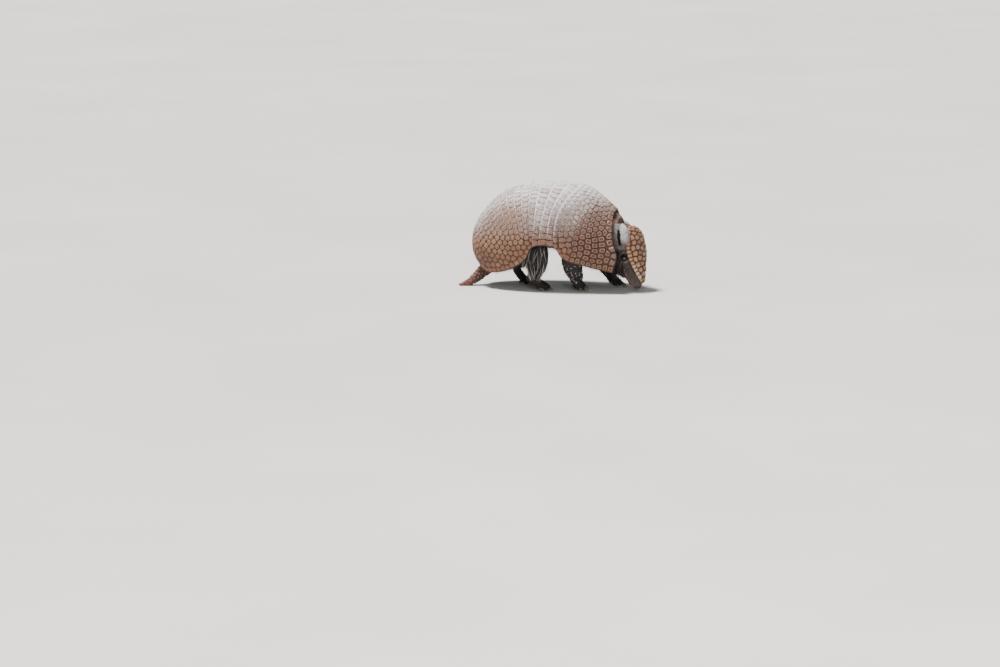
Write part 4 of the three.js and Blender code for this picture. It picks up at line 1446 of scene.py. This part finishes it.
rng = np.random.default_rng(31)
x, y, z = points.T
leg = shares["arm"] + shares["foot"] + shares["thigh"] * (z < 34) > 0.6
clear_of_claws = np.min([np.linalg.norm(points - claws[n][0], axis=1) for n in CLAWS], 0) > 2.2
index = roots_on(leg & clear_of_claws & (z > 1.2) & (z < 50), 2.6, rng)
size = (1.35 + 0.4 * ramp(-z[index], -40, -12)) * rng.uniform(0.8, 1.2, len(index))
pale_chance = 0.08 + 0.34 * shares["arm"][index] * ramp(-z[index], -34, -18)
tints = np.where(rng.random(len(index)) < pale_chance, rng.uniform(0.6, 1.0, len(index)), 0.04)
# Thigh scales are darker still: dark horn with painted shade under the shell.
tints *= np.where(shares["thigh"][index] > 0.5, 0.3, 1.0)
down = np.tile([0.25, 0, -1.0], (len(index), 1))
mesh = skin_scales("leg_scales", index, size, 0.34, 0.16, down, tints)
# The leg scales' near-black is dark horn with painted shade from the shell over the legs.
finish = scale_finish("leg_scale", (0.016, 0.012, 0.011), (0.48, 0.44, 0.42), (0.012, 0.009, 0.009), 0.22)
keep("leg_scales", mesh, finish)

index = roots_on(shares["ear"] > 0.75, 1.3, rng)
size = rng.uniform(0.55, 0.8, len(index))
# Grains take their tint from the painted tone, so those in the ear's slit carry its painted shade too.
tints = np.clip(tone[index].mean(1) * 1.4 * rng.uniform(0.5, 1.4, len(index)) - 0.06, 0, 1)
along_ear = np.tile(HEAD_TURN[:, 0], (len(index), 1))
mesh = skin_scales("ear_grains", index, size, 0.5, 0.0, along_ear, tints)
finish = scale_finish("ear_grain", (0.085, 0.065, 0.06), (0.84, 0.82, 0.815), (0.14, 0.12, 0.115))
keep("ear_grains", mesh, finish)

index = roots_on((shares["tail"] > 0.7) & (z > 0.8), 3.5, rng)
behind = -x[index]
size = rng.uniform(1.75, 2.3, len(index)) * ramp(behind, 70, 84) * (1 - 0.3 * ramp(behind, 105, 122)) + 0.05
tints = np.clip(ramp(behind, 90, 112) * 0.8 + rng.normal(0.1, 0.12, len(index)), 0, 1)
back = np.tile([-1.0, -0.2, -0.5], (len(index), 1))
mesh = skin_scales("tail_tubercles", index, size, 0.52, 0.28, back, tints)
finish = scale_finish("tubercle", (0.11, 0.068, 0.053), (0.25, 0.095, 0.072), (0.03, 0.016, 0.012))
keep("tail_tubercles", mesh, finish)

# %% [markdown]
# ## Hairs
# An armadillo has little hair, but what it has is coarse: pale bristles over dark fur, which sweep down
# the thighs and meet in a point, thin bristles behind the forearms and on the cheeks, a sparse fringe on
# the belly and dark strands under the throat. Each is a tapered strand with three sides, which bends
# from the way it leaves the skin to the way it hangs.

# %% The strand
def strand(rings):
    """A three-sided taper along +Z from 0 to 1."""
    bm = bmesh.new()
    bmesh.ops.create_circle(bm, segments=3, radius=1)
    edges = bm.edges[:]
    for _ in range(rings):
        made = bmesh.ops.extrude_edge_only(bm, edges=edges)["geom"]
        verts = [g for g in made if isinstance(g, bmesh.types.BMVert)]
        edges = [g for g in made if isinstance(g, bmesh.types.BMEdge)]
        bmesh.ops.translate(bm, verts=verts, vec=(0, 0, 1 / rings))
    bmesh.ops.pointmerge(bm, verts=verts, merge_co=(0, 0, 1))
    bmesh.ops.holes_fill(bm, edges=[e for e in bm.edges if e.is_boundary], sides=3)
    bmesh.ops.recalc_face_normals(bm, faces=bm.faces)
    return template_of(bm)


STRAND = strand(5)
HAIR_REACH = 54  # mm out to the sides that a hair may go, which keeps it within the shell's width


def hairs(name, index, length, thick, start, end, tints):
    """Strands rooted on the skin's points, leaving along start and hanging along end."""
    along = STRAND[0][:, 2]
    path = start[:, None] * (along * (1 - 0.5 * along))[:, None] + end[:, None] * (0.5 * along**2)[:, None]
    side = np.cross(start, normals[index] + 0.01)
    side /= np.maximum(np.linalg.norm(side, axis=1, keepdims=True), 1e-6)
    over = np.cross(side, start)
    round_ = STRAND[0][:, 0, None] * side[:, None] + STRAND[0][:, 1, None] * over[:, None]
    width = (thick[:, None] * (1 - along) ** 0.6)[..., None]
    roots = points[index] - normals[index] * 0.4
    places = roots[:, None] + path * length[:, None, None] + round_ * width
    places[..., 1] = np.clip(places[..., 1], -HAIR_REACH, HAIR_REACH)
    places[..., 2] = np.maximum(places[..., 2], 0.1)
    return repeated(name, STRAND, places, patches_of(points[index]), tint=tints,
                    along=np.broadcast_to(along, places.shape[:2]))


def hair_finish(name, root, dark, pale):
    f = Finish(name)
    colour = f.blend(f.mark("tint"), dark, pale)
    colour = f.blend(f.level(f.mark("along"), 0.0, 0.35, 0.7, 0.0), colour, root)
    return f.finish(colour, 0.55, **{"Specular IOR Level": 0.15})


def unit(vectors):
    return vectors / np.maximum(np.linalg.norm(vectors, axis=-1, keepdims=True), 1e-6)


def towards(end):
    """For each root, the way to one point."""
    return lambda roots: unit(end - points[roots])


def always(way):
    """For each root, the same way."""
    return lambda roots: np.tile(way, (len(roots), 1))


def grow(name, finish, wanted, room, length, thick, way, stand, paleness, rng, end_at=None):
    """One patch of hair: way is the lie, stand how far it leaves the skin, and end_at a point that no
    hair reaches past."""
    if end_at is not None:
        wanted = wanted & (np.linalg.norm(points - end_at, axis=1) > 8)
    index = roots_on(wanted, room, rng)
    jitter = rng.normal(0, 0.13, (len(index), 3))
    lie = lie_along(index, way(index) + jitter)
    start = unit(lie + normals[index] * stand)
    end = unit(way(index) + jitter * 1.3)
    lengths = length * rng.uniform(0.6, 1.15, len(index))
    if end_at is not None:
        lengths = np.minimum(lengths, np.linalg.norm(points[index] - end_at, axis=1) - 3)
    widths = thick * rng.uniform(0.7, 1.2, len(index))
    tints = np.clip(rng.normal(paleness, 0.3, len(index)), 0, 1)
    keep(name, hairs(name, index, lengths, widths, start, end, tints), finish)


rng = np.random.default_rng(47)
BRISTLE = hair_finish("bristle", (0.03, 0.024, 0.022), (0.016, 0.013, 0.012), (0.86, 0.84, 0.82))
DARK_HAIR = hair_finish("dark_hair", (0.014, 0.011, 0.010), (0.014, 0.011, 0.010), (0.16, 0.13, 0.115))
for side, hand in HANDS.items():
    low, high = box_of("hindleg_" + side)
    thigh_end = np.array([(low[0] + high[0]) / 2 - 3, hand * 38, 10.0])
    on_leg = (shares["thigh"] > 0.6) & (y * hand > 0)
    outside = on_leg & (normals[:, 1] * hand > 0.05) & (z > 22)
    meet = towards(thigh_end)
    grow("thigh_hair_" + side, BRISTLE, outside, 4.9, 27, 0.3, meet, 0.3, 0.5, rng, thigh_end)
    grow("thigh_fur_" + side, DARK_HAIR, outside, 1.9, 12, 0.2, meet, 0.25, -0.4, rng, thigh_end)
    arm = (shares["arm"] > 0.6) & (y * hand > 0) & (z < 42) & (normals[:, 0] < 0.2)
    grow("arm_hair_" + side, BRISTLE, arm, 5.2, 13, 0.15, always([-0.75, 0, -0.75]), 0.4, 0.4, rng)
belly = (shares["trunk"] > 0.6) & (normals[:, 2] < 0.1) & (z < 62)
grow("belly_hair", DARK_HAIR, belly, 2.7, 10, 0.15, always([-0.45, 0, -0.9]), 0.5, 0.3, rng)
throat = (shares["neck"] + shares["head"] > 0.6) & (spots[:, 2] < -12) & (spots[:, 0] < 52)
grow("throat_hair", DARK_HAIR, throat, 1.7, 15, 0.34, always([-0.1, 0, -1.0]), 0.45, 0.25, rng)
cheek = (shares["head"] > 0.8) & (away > 7) & (spots[:, 0] > 5) & (spots[:, 2] < 2)
forward = always(HEAD_TURN[:, 0] + [-0.5, 0, 0])
grow("cheek_hair", BRISTLE, cheek, 3.4, 5, 0.1, forward, 0.5, 0.35, rng)


# %% [markdown]
# ## Stage, camera and light
# The animal stands on a plain pale floor. The camera is far off with a long lens, a little above the
# back and a little ahead of the right flank. A sun lamp with soft edges shines from above and a little
# behind, a wide lamp fills the near side, and a small one puts a catch light in the eye.

# %% Floor, camera and lamps
AZIMUTH, ELEVATION = math.radians(11), math.radians(10)
DISTANCE, FOCAL = 5000, 3800  # mm, and pixels of the 1000 x 667 picture
ORIGIN_PIXEL = (554, 286.8)  # where the origin falls in the picture
CENTRE_PIXEL = (500, 333.5)
SENSOR = 36  # mm


def lay_floor():
    f = Finish("floor")
    cloud = f.noise(3, 3)
    paint = f.finish(f.ramp(cloud, (0.3, (0.62, 0.60, 0.57)), (0.7, (0.68, 0.66, 0.63))), 0.85)
    bm = bmesh.new()
    bmesh.ops.create_circle(bm, segments=64, radius=40, cap_ends=True)
    floor = placed("floor", mesh_of(bm, "floor"))
    floor.data.materials.append(paint)


def place_camera():
    level = math.cos(ELEVATION)
    back = Vector((math.sin(AZIMUTH) * level, -math.cos(AZIMUTH) * level, math.sin(ELEVATION)))
    right = Vector((math.cos(AZIMUTH), math.sin(AZIMUTH), 0))
    up = back.cross(right)
    across = (ORIGIN_PIXEL[0] - CENTRE_PIXEL[0]) / FOCAL * DISTANCE
    down = (ORIGIN_PIXEL[1] - CENTRE_PIXEL[1]) / FOCAL * DISTANCE
    data = bpy.data.cameras.new("camera")
    data.sensor_width = SENSOR
    data.lens = FOCAL / 1000 * SENSOR
    data.clip_end = 100
    camera = placed("camera", data)
    camera.location = (back * DISTANCE - right * across + up * down) * MM
    camera.rotation_mode = "QUATERNION"
    camera.rotation_quaternion = (-back).to_track_quat("-Z", "Y")
    bpy.context.scene.camera = camera


def lamp(name, kind, at, aim, power, colour, **size):
    data = bpy.data.lights.new(name, kind)
    data.energy, data.color = power, colour
    for key, value in size.items():
        setattr(data, key, value)
    made = placed(name, data)
    made.location = at
    made.rotation_euler = (Vector(aim) - Vector(at)).to_track_quat("-Z", "Y").to_euler()


lay_floor()
place_camera()
lamp("sun", "SUN", (-0.7, -0.05, 2.2), (0, 0, 0.08), 8.2, (1.0, 0.97, 0.93), angle=0.22)
lamp("fill", "AREA", (0.7, -2.3, 1.1), (0, 0, 0.06), 10, (0.95, 0.97, 1.0), shape="DISK", size=1.6)
lamp("catch", "AREA", (0.5, -2.1, 1.3), (0.09, 0, 0.04), 6, (1.0, 1.0, 1.0), shape="DISK", size=0.5)
world = bpy.data.worlds.new("studio")
world.use_nodes = True
sky = world.node_tree.nodes["Background"].inputs
sky["Color"].default_value = (0.85, 0.88, 0.92, 1)
sky["Strength"].default_value = 0.33
bpy.context.scene.world = world
